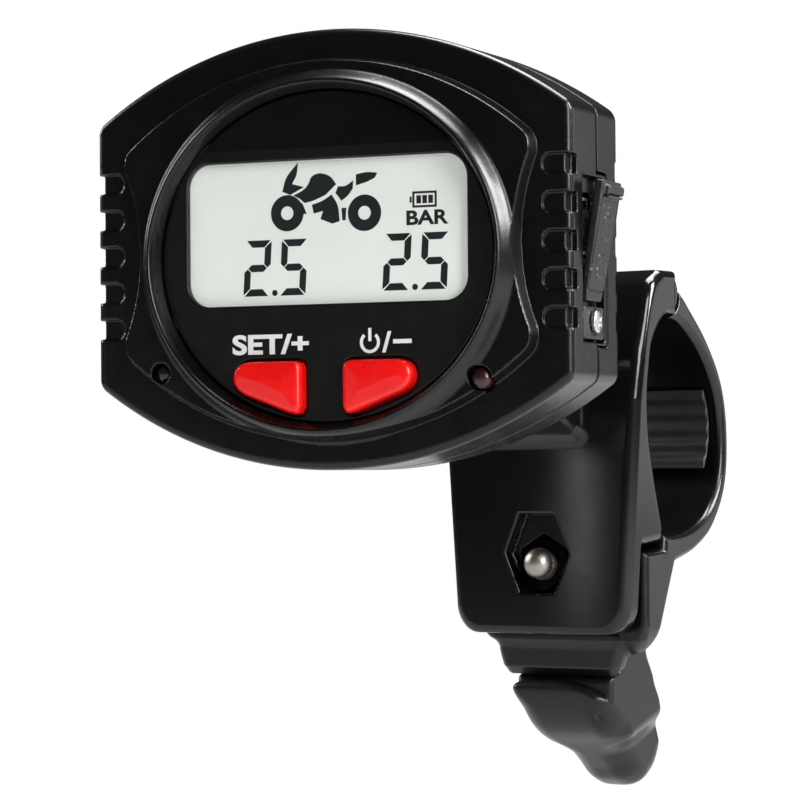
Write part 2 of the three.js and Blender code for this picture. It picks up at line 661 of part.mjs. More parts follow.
// The arm that carries the head, seen from above and from the side.
function arm() {
  const plan = new THREE.Shape();
  plan.moveTo(8.5, PLATE_FRONT + 1);
  plan.lineTo(-8.5, PLATE_FRONT + 1);
  plan.quadraticCurveTo(-5.4, -28, -5.4, SWIVEL.y + 2.6);
  plan.absarc(0, SWIVEL.y, SWIVEL_RADIUS, Math.PI - 0.45, 2 * Math.PI + 0.45, false);
  plan.quadraticCurveTo(5.4, -28, 8.5, PLATE_FRONT + 1);
  const side = new THREE.Shape();
  side.moveTo(SWIVEL.y - 7, SWIVEL.z - EYE_HALF_HEIGHT);
  side.lineTo(-45, SWIVEL.z - EYE_HALF_HEIGHT);
  side.quadraticCurveTo(-30, 4.5, PLATE_FRONT + 1, -2);
  side.lineTo(PLATE_FRONT + 1, 16.5);
  side.quadraticCurveTo(-30, 15, -45, SWIVEL.z + EYE_HALF_HEIGHT);
  side.lineTo(SWIVEL.y - 7, SWIVEL.z + EYE_HALF_HEIGHT);
  const body = slabZ(plan, -10, 30).intersect(slabX(side, -12, 12));
  return cut(body, rodZ(SWIVEL_PIN_RADIUS + GAP, 0, 20, 0, SWIVEL.y, 20));
}

// A point on the bolt's axis.
function boltPoint(station) {
  return {
    y: BOLT_START.y + station * Math.cos(BOLT_SLOPE),
    z: BOLT_START.z - station * Math.sin(BOLT_SLOPE),
  };
}

// A rod or hexagon along the bolt's axis, between two stations.
function alongBolt(radius, from, to, sides = 24) {
  const geometry = new THREE.CylinderGeometry(radius, radius, to - from, sides);
  const middle = boltPoint((from + to) / 2);
  return solid(geometry.rotateX(-BOLT_SLOPE).translate(0, middle.y, middle.z));
}

function hexPocket() {
  const { z, halfWidth, halfHeight, floor } = POCKET;
  const shoulder = halfWidth * 0.55;
  const outline = polygon([
    [halfWidth, z], [shoulder, z + halfHeight], [-shoulder, z + halfHeight],
    [-halfWidth, z], [-shoulder, z - halfHeight], [shoulder, z - halfHeight],
  ]);
  return slabY(outline, PLATE_FRONT - 1, floor - 1.2);
}

function padSeat() {
  return rodX(PAD_BACK + GAP, -CLAMP_HALF_WIDTH + 1.6, CLAMP_HALF_WIDTH - 1.6, 0, 0, 64);
}

function clampFrontJaw() {
  const jaw = slabX(frontJawProfile(), -20, 20).intersect(slabY(plateOutline(), -30, 10));
  const { y, z } = JAW_HINGE;
  const cheeks = [-1, 1].map((side) => {
    const near = side * (KNUCKLE_HALF_WIDTH + GAP);
    const far = side * CLAMP_HALF_WIDTH;
    return rodX(KNUCKLE_RADIUS, Math.min(near, far), Math.max(near, far), y, z, 28);
  });
  const knuckleRoom = rodX(KNUCKLE_RADIUS + 0.5, -KNUCKLE_HALF_WIDTH - GAP, KNUCKLE_HALF_WIDTH + GAP, y, z, 28);
  return cut(
    join(cut(jaw, knuckleRoom), ...cheeks, arm()),
    rodX(JAW_HINGE_PIN_RADIUS + 0.05, -CLAMP_HALF_WIDTH - 3, CLAMP_HALF_WIDTH - 1.2, y, z, 20),
    hexPocket(),
    padSeat(),
    alongBolt(NUT_RADIUS + 0.4, NUT_SPAN[0] - 3.5, NUT_SPAN[1] + GAP, 6),
    alongBolt(BOLT_RADIUS + 0.4, -1, 12, 20),
  );
}

function clampRearJaw() {
  const jaw = slabX(rearJawProfile(), -CLAMP_HALF_WIDTH, CLAMP_HALF_WIDTH)
    .intersect(slabY(rearJawOutline(), -30, 30));
  const { y, z } = JAW_HINGE;
  const boss = slabX(polygon([[-12.1, -32], [-12, -37], [-10.8, -38.2], [-8.35, -37.4], [-8.3, -35], [-7.7, -32]]),
    -EAR_BOSS_HALF_WIDTH, EAR_BOSS_HALF_WIDTH);
  const half = KNUCKLE_HALF_WIDTH;
  const knuckle = rodX(KNUCKLE_RADIUS, -half, half, y, z, 28);
  const cheekRoom = [-1, 1].map((side) => {
    const near = side * half;
    const far = side * (CLAMP_HALF_WIDTH + 2);
    return rodX(KNUCKLE_RADIUS + 0.5, Math.min(near, far), Math.max(near, far), y, z, 28);
  });
  return cut(
    join(cut(jaw, ...cheekRoom), knuckle, boss),
    rodX(JAW_HINGE_PIN_RADIUS + GAP, -half - 1, half + 1, y, z, 20),
    padSeat(),
    alongBolt(BOLT_RADIUS + 1, 3, 18, 20),
  );
}

function jawHingePin() {
  return rodX(JAW_HINGE_PIN_RADIUS - 0.05, -CLAMP_HALF_WIDTH + 0.5, CLAMP_HALF_WIDTH - 1.5,
    JAW_HINGE.y, JAW_HINGE.z, 16);
}

// A rubber liner with raised ribs along the bar, set on a jaw's inner face.
function jawPad(middleAngle, surfaceRadius) {
  const span = 0.55;
  const ribs = 5;
  const steps = 4 * ribs;
  const outer = [];
  const inner = [];
  for (let i = 0; i <= steps; i += 1) {
    const angle = middleAngle - span + (2 * span * i) / steps;
    const rib = i % 4 === 2 ? 0 : 0.35;
    outer.push([surfaceRadius * Math.cos(angle), surfaceRadius * Math.sin(angle)]);
    const radius = surfaceRadius - PAD_THICKNESS + rib;
    inner.unshift([radius * Math.cos(angle), radius * Math.sin(angle)]);
  }
  return slabX(polygon([...outer, ...inner]), -CLAMP_HALF_WIDTH + 2, CLAMP_HALF_WIDTH - 2);
}

// ---------------------------------------------------------------- clamp: bolt, cam and lever

const CAM_PIN = boltPoint(CAM_PIN_STATION);

function tensionBolt() {
  const tip = solid(new THREE.SphereGeometry(BOLT_RADIUS, 16, 10)
    .translate(0, boltPoint(BOLT_TIP + BOLT_RADIUS).y, boltPoint(BOLT_TIP + BOLT_RADIUS).z));
  const eye = rodX(3, -2.6, 2.6, CAM_PIN.y, CAM_PIN.z, 24);
  const shank = alongBolt(BOLT_RADIUS, BOLT_TIP + BOLT_RADIUS, CAM_PIN_STATION - 1, 20);
  return cut(join(tip, shank, eye), rodX(CAM_PIN_RADIUS + GAP, -4, 4, CAM_PIN.y, CAM_PIN.z, 20));
}

function tensionNut() {
  return cut(
    alongBolt(NUT_RADIUS, NUT_SPAN[0], NUT_SPAN[1], 6),
    alongBolt(BOLT_RADIUS + 0.2, NUT_SPAN[0] - 1, NUT_SPAN[1] + 1, 20),
  );
}

// Wedge between the ear's sloping back and the cam, square to the bolt on the cam's side.
function camSaddle() {
  const slab = alongBolt(5.6, 11.5, SADDLE_FACE, 24);
  const ear = polygon([[-20, -10], [-20, -45], [-13.1, -43.6], [-2.05, -20.9], [2.5, -10]]);
  return cut(slab, slabX(ear, -10, 10), alongBolt(BOLT_RADIUS + 0.5, 8, 20, 20), box(-10, 10, -10, 10, -20.6, 0));
}

function camPin() {
  return rodX(CAM_PIN_RADIUS, -LEVER_HALF_WIDTH + GAP, LEVER_HALF_WIDTH - GAP, CAM_PIN.y, CAM_PIN.z, 20);
}

function leverBody() {
  const side = new THREE.Shape();
  side.moveTo(CAM_PIN.y + 3.1, CAM_PIN.z + 1);
  side.splineThru([
    new THREE.Vector2(CAM_PIN.y - 0.5, CAM_PIN.z + 3.2), new THREE.Vector2(-1.6, CAM_PIN.z - 0.4),
    new THREE.Vector2(-3.4, -30.2), new THREE.Vector2(-6, -34.4), new THREE.Vector2(-7.6, -37.6),
  ]);
  side.lineTo(-11.1, -38.7);
  side.quadraticCurveTo(-12.5, -39.3, -12.3, -41.2);
  side.splineThru([
    new THREE.Vector2(-11.3, -43.9), new THREE.Vector2(-8.6, -47), new THREE.Vector2(-4.2, -49.9),
    new THREE.Vector2(0.4, -53.2), new THREE.Vector2(3.6, -55.7), new THREE.Vector2(7.2, -56.6),
    new THREE.Vector2(11, -54.2), new THREE.Vector2(13, -49.8), new THREE.Vector2(10.6, -46.4),
    new THREE.Vector2(6.4, -44.5), new THREE.Vector2(5.2, -42), new THREE.Vector2(2.6, -37.8),
    new THREE.Vector2(1, -34.4), new THREE.Vector2(3, -30.4),
    new THREE.Vector2(CAM_PIN.y + 3.3, CAM_PIN.z - 0.6),
  ]);
  return slabX(side, -LEVER_HALF_WIDTH, LEVER_HALF_WIDTH);
}

// The lever seen square to its leaning front: a broad block that steps in to a finger tip.
function leverOutline() {
  const wide = LEVER_HALF_WIDTH;
  const tip = LEVER_TIP_HALF_WIDTH;
  const stepTop = -43.3;
  const stepBottom = -48;
  const end = -59;
  const shape = new THREE.Shape();
  shape.moveTo(wide, -10);
  shape.lineTo(-wide, -10);
  shape.lineTo(-wide, stepTop);
  shape.quadraticCurveTo(-tip - 0.2, stepTop - 1.6, -tip, stepBottom);
  shape.lineTo(-tip, end + 4);
  shape.quadraticCurveTo(-tip, end, 0, end);
  shape.quadraticCurveTo(tip, end, tip, end + 4);
  shape.lineTo(tip, stepBottom);
  shape.quadraticCurveTo(tip + 0.2, stepTop - 1.6, wide, stepTop);
  return shape;
}

// Room for the bolt's eye and shank as the lever swings over.
function boltRoom() {
  const swing = 110;
  const arms = 4;
  const slots = [];
  for (let i = 0; i <= arms; i += 1) {
    const angle = THREE.MathUtils.radToDeg(Math.PI - BOLT_SLOPE) - (swing * i) / arms;
    const slot = box(-3, 3, 0, 12, -2.9, 2.9);
    slots.push(slot.rotate([angle, 0, 0]).translate([0, CAM_PIN.y, CAM_PIN.z]));
  }
  return join(rodX(3.6, -3, 3, CAM_PIN.y, CAM_PIN.z, 24), ...slots);
}

function camLever() {
  const offset = boltPoint(CAM_PIN_STATION - CAM_THROW);
  const cam = rodX(CAM_RADIUS, -LEVER_HALF_WIDTH, LEVER_HALF_WIDTH, offset.y, offset.z, 36);
  const front = slabY(leverOutline(), -60, 60).rotate([LEVER_LEAN, 0, 0]);
  const body = leverBody().intersect(front);
  return cut(
    join(body, cam),
    rodX(CAM_PIN_RADIUS + GAP, -LEVER_HALF_WIDTH - 1, LEVER_HALF_WIDTH + 1, CAM_PIN.y, CAM_PIN.z, 20),
    boltRoom(),
  );
}

// ---------------------------------------------------------------- assembly

const monitor = new THREE.Group();
const clamp = new THREE.Group();
const head = new THREE.Group();
head.rotation.z = HEAD_TURN;
head.position.set(
  HEAD_TO_SWIVEL * Math.sin(HEAD_TURN),
  SWIVEL.y - HEAD_TO_SWIVEL * Math.cos(HEAD_TURN),
  HEAD_Z,
);
monitor.add(clamp, head);

function add(group, name, body, finish) {
  const mesh = new THREE.Mesh(toGeometry(body), new THREE.MeshStandardMaterial(finish));
  mesh.name = name;
  group.add(mesh);
}

add(head, 'front_shell', frontShell(), BLACK_CASE);
add(head, 'rear_shell', rearShell(), BLACK_CASE);
add(head, 'shell_gasket', shellGasket(), RUBBER);
add(head, 'fascia_panel', fasciaPanel(), FASCIA_BLACK);
add(head, 'window_lens', windowLens(), CLEAR);
add(head, 'lcd_cell', lcdCell(), LCD_GREY);
add(head, 'lcd_holder', lcdHolder(), WHITE_PLASTIC);
add(head, 'zebra_strip_upper', zebraStrip(1), RUBBER);
add(head, 'zebra_strip_lower', zebraStrip(-1), RUBBER);
add(head, 'button_left', button(-1), RED_BUTTON);
add(head, 'button_right', button(1), RED_BUTTON);
add(head, 'switch_left', tactSwitch(-1), STEEL);
add(head, 'switch_right', tactSwitch(1), STEEL);
add(head, 'alarm_led', domedPlug(LED.x, LED.z, LED.radius, PANEL_FRONT - 0.2, 4.7), LED_RED);
add(head, 'light_sensor', domedPlug(SENSOR.x, SENSOR.z, SENSOR.radius, PANEL_FRONT + 0.5, 4.7), SENSOR_SMOKE);
add(head, 'main_board', mainBoard(), BOARD_GREEN);
add(head, 'usb_socket', usbSocket(), NICKEL);
add(head, 'battery_cell', batteryCell(), CELL_SILVER);
add(head, 'radio_shield', radioShield(), NICKEL);
add(head, 'buzzer', buzzer(), RUBBER);
add(head, 'antenna_coil', antennaCoil(), NICKEL);
CASE_SCREWS.forEach((place, i) => add(head, `case_screw_${i + 1}`, caseScrew(place), STEEL));
add(head, 'usb_flap', usbFlap(), RUBBER);
add(head, 'usb_flap_anchor', flapAnchor(), RUBBER);
add(head, 'usb_flap_screw', flapScrew(), STEEL);
add(head, 'swivel_foot', swivelFoot(), BLACK_CASE);
footScrewPlaces().forEach((place, i) => add(head, `foot_screw_${i + 1}`, footScrew(place), STEEL));
add(head, 'friction_washer_upper', frictionWasher(1), RUBBER);
add(head, 'friction_washer_lower', frictionWasher(-1), RUBBER);
add(head, 'swivel_screw', swivelScrew(), STEEL);
add(head, 'swivel_nut', swivelNut(), STEEL);

add(clamp, 'clamp_front_jaw', clampFrontJaw(), BLACK_CLAMP);
add(clamp, 'clamp_rear_jaw', clampRearJaw(), BLACK_CLAMP);
add(clamp, 'jaw_hinge_pin', jawHingePin(), STEEL);
add(clamp, 'front_jaw_pad', jawPad(Math.PI, PAD_BACK), RUBBER);
add(clamp, 'rear_jaw_pad', jawPad(0, PAD_BACK), RUBBER);
add(clamp, 'tension_bolt', tensionBolt(), STEEL);
add(clamp, 'tension_nut', tensionNut(), STEEL);
add(clamp, 'cam_saddle', camSaddle(), WHITE_PLASTIC);
add(clamp, 'cam_pin', camPin(), STEEL);
add(clamp, 'cam_lever', camLever(), BLACK_LEVER);

export default monitor;
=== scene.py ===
"""Looks of the handlebar tire pressure monitor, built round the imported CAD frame.

Shapes are written in millimetres as signed distances (negative inside) and meshed here.
The head's own frame has its origin at the middle of the case's front rim, x to the right,
y into the case and z up; the clamp's frame is the part's own.
"""

import json
import math

import bpy
import numpy as np
from mathutils import Matrix, Vector


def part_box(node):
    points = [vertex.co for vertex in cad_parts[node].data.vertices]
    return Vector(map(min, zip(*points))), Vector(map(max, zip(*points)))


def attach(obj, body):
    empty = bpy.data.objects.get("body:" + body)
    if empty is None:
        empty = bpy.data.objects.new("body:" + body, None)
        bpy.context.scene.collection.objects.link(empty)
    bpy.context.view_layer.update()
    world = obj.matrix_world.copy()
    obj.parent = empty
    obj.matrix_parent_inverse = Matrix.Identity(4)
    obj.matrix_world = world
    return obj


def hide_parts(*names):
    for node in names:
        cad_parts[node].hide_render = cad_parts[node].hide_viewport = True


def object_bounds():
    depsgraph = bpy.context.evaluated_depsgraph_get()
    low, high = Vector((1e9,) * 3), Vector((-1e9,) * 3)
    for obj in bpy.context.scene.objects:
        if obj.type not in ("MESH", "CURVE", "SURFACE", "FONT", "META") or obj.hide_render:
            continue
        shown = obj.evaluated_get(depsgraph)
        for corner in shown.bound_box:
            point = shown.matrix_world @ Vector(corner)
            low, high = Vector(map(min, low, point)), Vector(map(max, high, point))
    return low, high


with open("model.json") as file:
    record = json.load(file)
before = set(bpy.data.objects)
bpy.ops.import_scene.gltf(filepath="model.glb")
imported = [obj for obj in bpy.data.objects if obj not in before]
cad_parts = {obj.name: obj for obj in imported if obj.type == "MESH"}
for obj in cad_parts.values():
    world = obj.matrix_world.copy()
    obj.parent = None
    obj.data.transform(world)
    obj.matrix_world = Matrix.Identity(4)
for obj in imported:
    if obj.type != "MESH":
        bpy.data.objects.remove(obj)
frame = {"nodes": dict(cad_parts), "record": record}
cad_box = [list(corner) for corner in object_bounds()]
joints = {joint["name"]: joint for joint in frame["record"]["behaviour"]["joints"]}
slot_of = {part["node"]: part["material_slot"] for part in frame["record"]["subparts"]}

MM = 0.001

# ---- frames

HEAD_TO_SWIVEL = 28.0
swivel = Vector(joints["head_swivel"]["pos_m"])
inward = Vector(joints["left_button_press"]["axis"])
head_turn = math.atan2(-inward.x, inward.y)
shell_low, shell_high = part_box("front_shell")
HEAD_FRAME = Matrix.Translation((
    swivel.x - inward.x * HEAD_TO_SWIVEL * MM,
    swivel.y - inward.y * HEAD_TO_SWIVEL * MM,
    (shell_low.z + shell_high.z) / 2,
)) @ Matrix.Rotation(head_turn, 4, "Z")
ROW_FRAME = Matrix.Identity(4)

# ---- signed distances


def round_max(a, b, r):
    """The overlap of two shapes, their shared edge rounded to radius r."""
    return np.minimum(np.maximum(a, b), -r) + np.hypot(np.maximum(a + r, 0), np.maximum(b + r, 0))


def round_min(a, b, r):
    """Two shapes joined, with a fillet of radius r between them."""
    return -round_max(-a, -b, r)


def carve(a, b, r=0.0):
    """Shape a with shape b cut out of it, the cut's edge rounded to radius r."""
    return round_max(a, -b, r) if r else np.maximum(a, -b)


def rect(u, v, half_u, half_v, r):
    """A rectangle with rounded corners, centred on the origin."""
    du = np.abs(u) - half_u + r
    dv = np.abs(v) - half_v + r
    return np.hypot(np.maximum(du, 0), np.maximum(dv, 0)) + np.minimum(np.maximum(du, dv), 0) - r


def fade(t, low, high):
    """0 below low and 1 above high, smooth between."""
    t = np.clip((t - low) / (high - low), 0, 1)
    return t * t * (3 - 2 * t)


def slab(t, low, high):
    """Everything between two parallel planes."""
    return np.maximum(low - t, t - high)


def block(x, y, z, low, high, r=0.2):
    """A box between two corners, its edges rounded to radius r."""
    d = round_max(slab(x, low[0], high[0]), slab(y, low[1], high[1]), r)
    return round_max(d, slab(z, low[2], high[2]), r)


def ellipse(u, v, a, b):
    """An ellipse with half axes a and b; the distance is close to true near its edge."""
    q = np.hypot(u / a, v / b)
    return (q - 1) * q / np.maximum(np.hypot(u / a ** 2, v / b ** 2), 1e-6)


def hexagon(u, v, flat):
    """A hexagon with a corner along u; flat is half its width across flats."""
    au, av = np.abs(u), np.abs(v)
    return np.maximum(av, 0.5 * av + math.sqrt(3) / 2 * au) - flat


def polygon(u, v, points):
    """Distance to a closed outline, for any shape of u and v that broadcast together."""
    u, v = np.broadcast_arrays(u, v)
    shape = u.shape
    u, v = u.ravel(), v.ravel()
    best = np.full(u.shape, 1e12)
    sign = np.ones(u.shape)
    for (ax, ay), (bx, by) in zip(points, np.roll(points, -1, axis=0)):
        ex, ey = bx - ax, by - ay
        wx, wy = u - ax, v - ay
        t = np.clip((wx * ex + wy * ey) / max(ex * ex + ey * ey, 1e-12), 0, 1)
        best = np.minimum(best, (wx - ex * t) ** 2 + (wy - ey * t) ** 2)
        above_a, below_b = v >= ay, v < by
        left = ex * wy > ey * wx
        flip = (above_a & below_b & left) | (~above_a & ~below_b & ~left)
        sign[flip] *= -1
    return (sign * np.sqrt(best)).reshape(shape)


def path(*stretches, step=0.35):
    """A closed outline: a stretch of one point is a corner, a longer one a smooth curve."""
    points = []
    for stretch in stretches:
        p = np.array(stretch, float)
        if len(p) == 1:
            points.append(p[0])
            continue
        q = np.vstack([2 * p[0] - p[1], p, 2 * p[-1] - p[-2]])
        for i in range(1, len(q) - 2):
            a, b, c, d = q[i - 1:i + 3]
            count = max(2, int(np.hypot(*(c - b)) / step))
            for k in range(count):
                t = k / count
                points.append(0.5 * (2 * b + (c - a) * t + (2 * a - 5 * b + 4 * c - d) * t ** 2
                                     + (3 * b - a - 3 * c + d) * t ** 3))
        points.append(p[-1])
    return np.array(points)


# ---- meshing


def surface_net(values, low, cell):
    """Quads of the zero surface of a grid of values."""
    inside = values < 0
    n = values.shape
    corners = [(i, j, k) for i in (0, 1) for j in (0, 1) for k in (0, 1)]
    count = np.zeros([s - 1 for s in n], np.int8)
    for i, j, k in corners:
        count += inside[i:n[0] - 1 + i, j:n[1] - 1 + j, k:n[2] - 1 + k]
    active = (count > 0) & (count < 8)
    cells = np.argwhere(active)
    at = {c: values[tuple((cells + c).T)] for c in corners}
    total = np.zeros((len(cells), 3))
    crossings = np.zeros(len(cells))
    for a in corners:
        for axis in range(3):
            if a[axis]:
                continue
            b = tuple(1 if m == axis else a[m] for m in range(3))
            crossed = (at[a] < 0) != (at[b] < 0)
            t = np.where(crossed, at[a] / np.where(crossed, at[a] - at[b], 1), 0)
            point = np.tile(np.array(a, float), (len(cells), 1))
            point[:, axis] += t
            total += point * crossed[:, None]
            crossings += crossed
    vertices = np.array(low) + (cells + total / crossings[:, None]) * cell
    number = np.full(active.shape, -1, np.int64)
    number[active] = np.arange(len(cells))
    quads = []
    for axis in range(3):
        u, v = (axis + 1) % 3, (axis + 2) % 3
        first = [slice(None)] * 3
        second = [slice(None)] * 3
        first[axis], second[axis] = slice(0, -1), slice(1, None)
        crossed = np.argwhere(inside[tuple(first)] != inside[tuple(second)])
        crossed = crossed[(crossed[:, u] > 0) & (crossed[:, v] > 0)
                          & (crossed[:, u] < n[u] - 1) & (crossed[:, v] < n[v] - 1)]
        ring = []
        for du, dv in ((1, 1), (0, 1), (0, 0), (1, 0)):
            place = crossed.copy()
            place[:, u] -= du
            place[:, v] -= dv
            ring.append(number[tuple(place.T)])
        quad = np.stack(ring, 1)
        outward = inside[tuple(crossed.T)]
        quad[~outward] = quad[~outward][:, ::-1]
        quads.append(quad)
    return vertices, np.vstack(quads)


def slope(f, p, h=0.02):
    """The gradient of f at points p."""
    grad = np.empty_like(p)
    for axis in range(3):
        step = np.zeros(3)
        step[axis] = h
        grad[:, axis] = (f(*(p + step).T) - f(*(p - step).T)) / (2 * h)
    return grad


def sculpt(name, f, low, high, cell, body, material, replaces, place=HEAD_FRAME):
    """Meshes the shape f inside a box, and rides it on a CAD body in place of some CAD nodes."""
    axes = [np.arange(a - cell, b + 2 * cell, cell) for a, b in zip(low, high)]
    grid = np.meshgrid(*axes, indexing="ij", sparse=True)
    values = np.broadcast_to(f(*grid), [len(a) for a in axes])
    p, quads = surface_net(values, [a[0] for a in axes], cell)
    for _ in range(2):
        grad = slope(f, p)
        length = np.maximum((grad ** 2).sum(1, keepdims=True), 0.25)
        move = f(*p.T)[:, None] * grad / length
        p -= np.clip(move, -cell / 2, cell / 2)
    grad = slope(f, p)
    normals = grad / np.maximum(np.linalg.norm(grad, axis=1, keepdims=True), 1e-9)
    mesh = bpy.data.meshes.new(name)
    mesh.from_pydata((p * MM).tolist(), [], quads.tolist())
    mesh.transform(place)
    mesh.shade_smooth()
    turned = normals @ np.array(place.to_3x3()).T
    mesh.normals_split_custom_set_from_vertices(turned.tolist())
    mesh.update()
    return finished(name, mesh, body, material, replaces)


def added(name, data):
    """A new object in the scene."""
    obj = bpy.data.objects.new(name, data)
    bpy.context.scene.collection.objects.link(obj)
    return obj


def finished(name, mesh, body, material, replaces=()):
    """Adds the mesh as a piece that rides on body and stands in for the nodes it replaces."""
    obj = added(name, mesh)
    mesh.materials.clear()
    mesh.materials.append(material)
    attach(obj, body)
    if replaces:
        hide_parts(*replaces)
    return obj


# ---- materials


class Nodes:
    """A short way to write a material's node tree."""

    def __init__(self, name):
        self.material = bpy.data.materials.new(name)
        self.material.use_nodes = True
        self.tree = self.material.node_tree
        self.shader = self.tree.nodes["Principled BSDF"]
        self.coords = self.new("TexCoord").outputs["Object"]

    def new(self, kind):
        return self.tree.nodes.new("ShaderNode" + kind)

    def link(self, a, b):
        self.tree.links.new(a, b)

    def put(self, value, socket):
        """Links a socket's value, or sets it to a colour or a number."""
        if isinstance(value, bpy.types.NodeSocket):
            self.link(value, socket)
        else:
            socket.default_value = (*value, 1) if isinstance(value, tuple) else value

    def noise(self, scale, detail=3.0, roughness=0.5):
        node = self.new("TexNoise")
        node.inputs["Scale"].default_value = scale
        node.inputs["Detail"].default_value = detail
        node.inputs["Roughness"].default_value = roughness
        self.link(self.coords, node.inputs["Vector"])
        return node.outputs["Fac"]

    def cells(self, scale):
        node = self.new("TexVoronoi")
        node.inputs["Scale"].default_value = scale
        self.link(self.coords, node.inputs["Vector"])
        return node.outputs["Distance"]

    def ramp(self, value, low, high, dark, light):
        """Maps value from [low, high] to colours or greys."""
        node = self.new("ValToRGB")
        for element, place, tone in zip(node.color_ramp.elements, (low, high), (dark, light)):
            element.position = place
            element.color = (*tone, 1) if isinstance(tone, tuple) else (tone, tone, tone, 1)
        self.link(value, node.inputs["Fac"])
        return node.outputs["Color"]

    def height(self):
        """How high the point is, in metres."""
        split = self.new("SeparateXYZ")
        self.link(self.coords, split.inputs[0])
        return split.outputs["Z"]

    def mix(self, factor, a, b):
        node = self.new("Mix")
        node.data_type = "RGBA"
        for value, socket in ((factor, "Factor"), (a, 6), (b, 7)):
            self.put(value, node.inputs[socket])
        return node.outputs[2]

    def math(self, operation, a, b=0.0):
        node = self.new("Math")
        node.operation = operation
        self.put(a, node.inputs[0])
        self.put(b, node.inputs[1])
        return node.outputs[0]

    def bump(self, height, distance, strength=1.0):
        node = self.new("Bump")
        node.inputs["Strength"].default_value = strength
        node.inputs["Distance"].default_value = distance
        self.link(height, node.inputs["Height"])
        previous = self.shader.inputs["Normal"].links
        if previous:
            self.link(previous[0].from_socket, node.inputs["Normal"])
        self.link(node.outputs["Normal"], self.shader.inputs["Normal"])

    def set(self, **values):
        for key, value in values.items():
            self.put(value, self.shader.inputs[key.replace("_", " ")])


SPARK_GRAINS_PER_M = 4000
GLOSS_FROM = 13.9


def shade(tone, by):
    return tuple(c * by for c in tone)


def moulded(name, tone, gloss, grain, specks=0.0, shine=0.5):
    """Moulded plastic: fine spark grain, soft wear in the gloss, and a few pale dust specks."""
    n = Nodes(name)
    cloud = n.noise(90, 4)
    fine = n.noise(SPARK_GRAINS_PER_M, 2, 0.6)
    colour = n.ramp(cloud, 0.3, 0.7, shade(tone, 0.8), shade(tone, 1.25))
    if specks:
        dust = n.ramp(n.cells(420), specks, specks * 1.6, 1.0, 0.0)
        rare = n.ramp(n.noise(160, 2), 0.6, 0.72, 0.0, 0.35)
        colour = n.mix(n.math("MULTIPLY", dust, rare), colour, (0.16, 0.16, 0.15))
    wear = n.ramp(n.noise(240, 5, 0.65), 0.3, 0.75, gloss * 0.85, min(gloss * 1.2, 1.0))
    n.set(Base_Color=colour, Roughness=wear, Specular_IOR_Level=shine)
    n.bump(fine, grain)
    return n.material


def metal(name, tone, gloss):
    """Plated or turned metal with fine marks."""
    n = Nodes(name)
    marks = n.noise(2200, 4, 0.6)
    stain = n.noise(500, 3)
    colour = n.ramp(stain, 0.3, 0.75, shade(tone, 0.72), tone)
    n.set(Base_Color=colour, Metallic=1.0, Roughness=n.ramp(marks, 0.3, 0.7, gloss * 0.8, gloss * 1.4))
    n.bump(marks, 0.00002)
    return n.material


def rubbery(name, tone, gloss=0.62, dust=0.03):
    """Matt rubber with lint on it; a larger dust gives bigger specks."""
    n = Nodes(name)
    colour = n.ramp(n.noise(300, 4), 0.3, 0.7, shade(tone, 0.75), shade(tone, 1.3))
    lint = n.ramp(n.cells(900), dust, dust * 2, 1.0, 0.0)
    rare = n.ramp(n.noise(220, 2), 0.5, 0.65, 0.0, 0.6)
    colour = n.mix(n.math("MULTIPLY", lint, rare), colour, (0.2, 0.2, 0.19))
    n.set(Base_Color=colour, Roughness=n.ramp(n.noise(800, 4), 0.3, 0.7, gloss * 0.8, gloss * 1.15))
    n.bump(n.noise(2600, 3, 0.6), 0.00006)
    return n.material


def flat_print(name, tone, gloss):
    """Printed ink: nearly even, with a faint mottle."""
    n = Nodes(name)
    n.set(Base_Color=n.ramp(n.noise(1500, 3), 0.3, 0.7, shade(tone, 0.93), tone),
          Roughness=n.ramp(n.noise(2500, 2), 0.3, 0.7, gloss * 0.9, gloss * 1.1))
    return n.material


CASE = moulded("case_plastic", (0.0026, 0.0026, 0.0028), 0.25, 0.000012, specks=0.05, shine=0.36)
CLAMP = moulded("clamp_plastic", (0.0024, 0.0024, 0.0025), 0.13, 0.000006, specks=0.045, shine=0.4)
LEVER = moulded("lever_plastic", (0.0056, 0.0058, 0.0064), 0.32, 0.000014, shine=0.3)
JAW = moulded("jaw_plastic", (0.0024, 0.0024, 0.0025), 0.24, 0.000008, specks=0.045, shine=0.4)
WHITE = moulded("white_plastic", (0.7, 0.7, 0.66), 0.45, 0.00001)
BLACK_PART = moulded("black_part", (0.02, 0.02, 0.02), 0.5, 0.00001)
BOARD = moulded("solder_mask", (0.02, 0.11, 0.05), 0.35, 0.00001)
NUT_STEEL = metal("dark_steel", (0.01, 0.01, 0.01), 0.4)
BOLT_STEEL = metal("worn_steel", (0.40, 0.37, 0.34), 0.36)
STEEL = metal("zinc_steel", (0.62, 0.63, 0.65), 0.26)
NICKEL = metal("nickel", (0.68, 0.66, 0.6), 0.22)
CELL = metal("cell_foil", (0.6, 0.62, 0.64), 0.4)
RUBBER = rubbery("rubber", (0.004, 0.004, 0.004))
COVER_RUBBER = rubbery("cover_rubber", (0.0065, 0.0065, 0.0068), 0.5, 0.11)
PRINT_WHITE = flat_print("white_print", (0.86, 0.86, 0.85), 0.4)
LCD_INK = flat_print("lcd_ink", (0.012, 0.014, 0.016), 0.35)


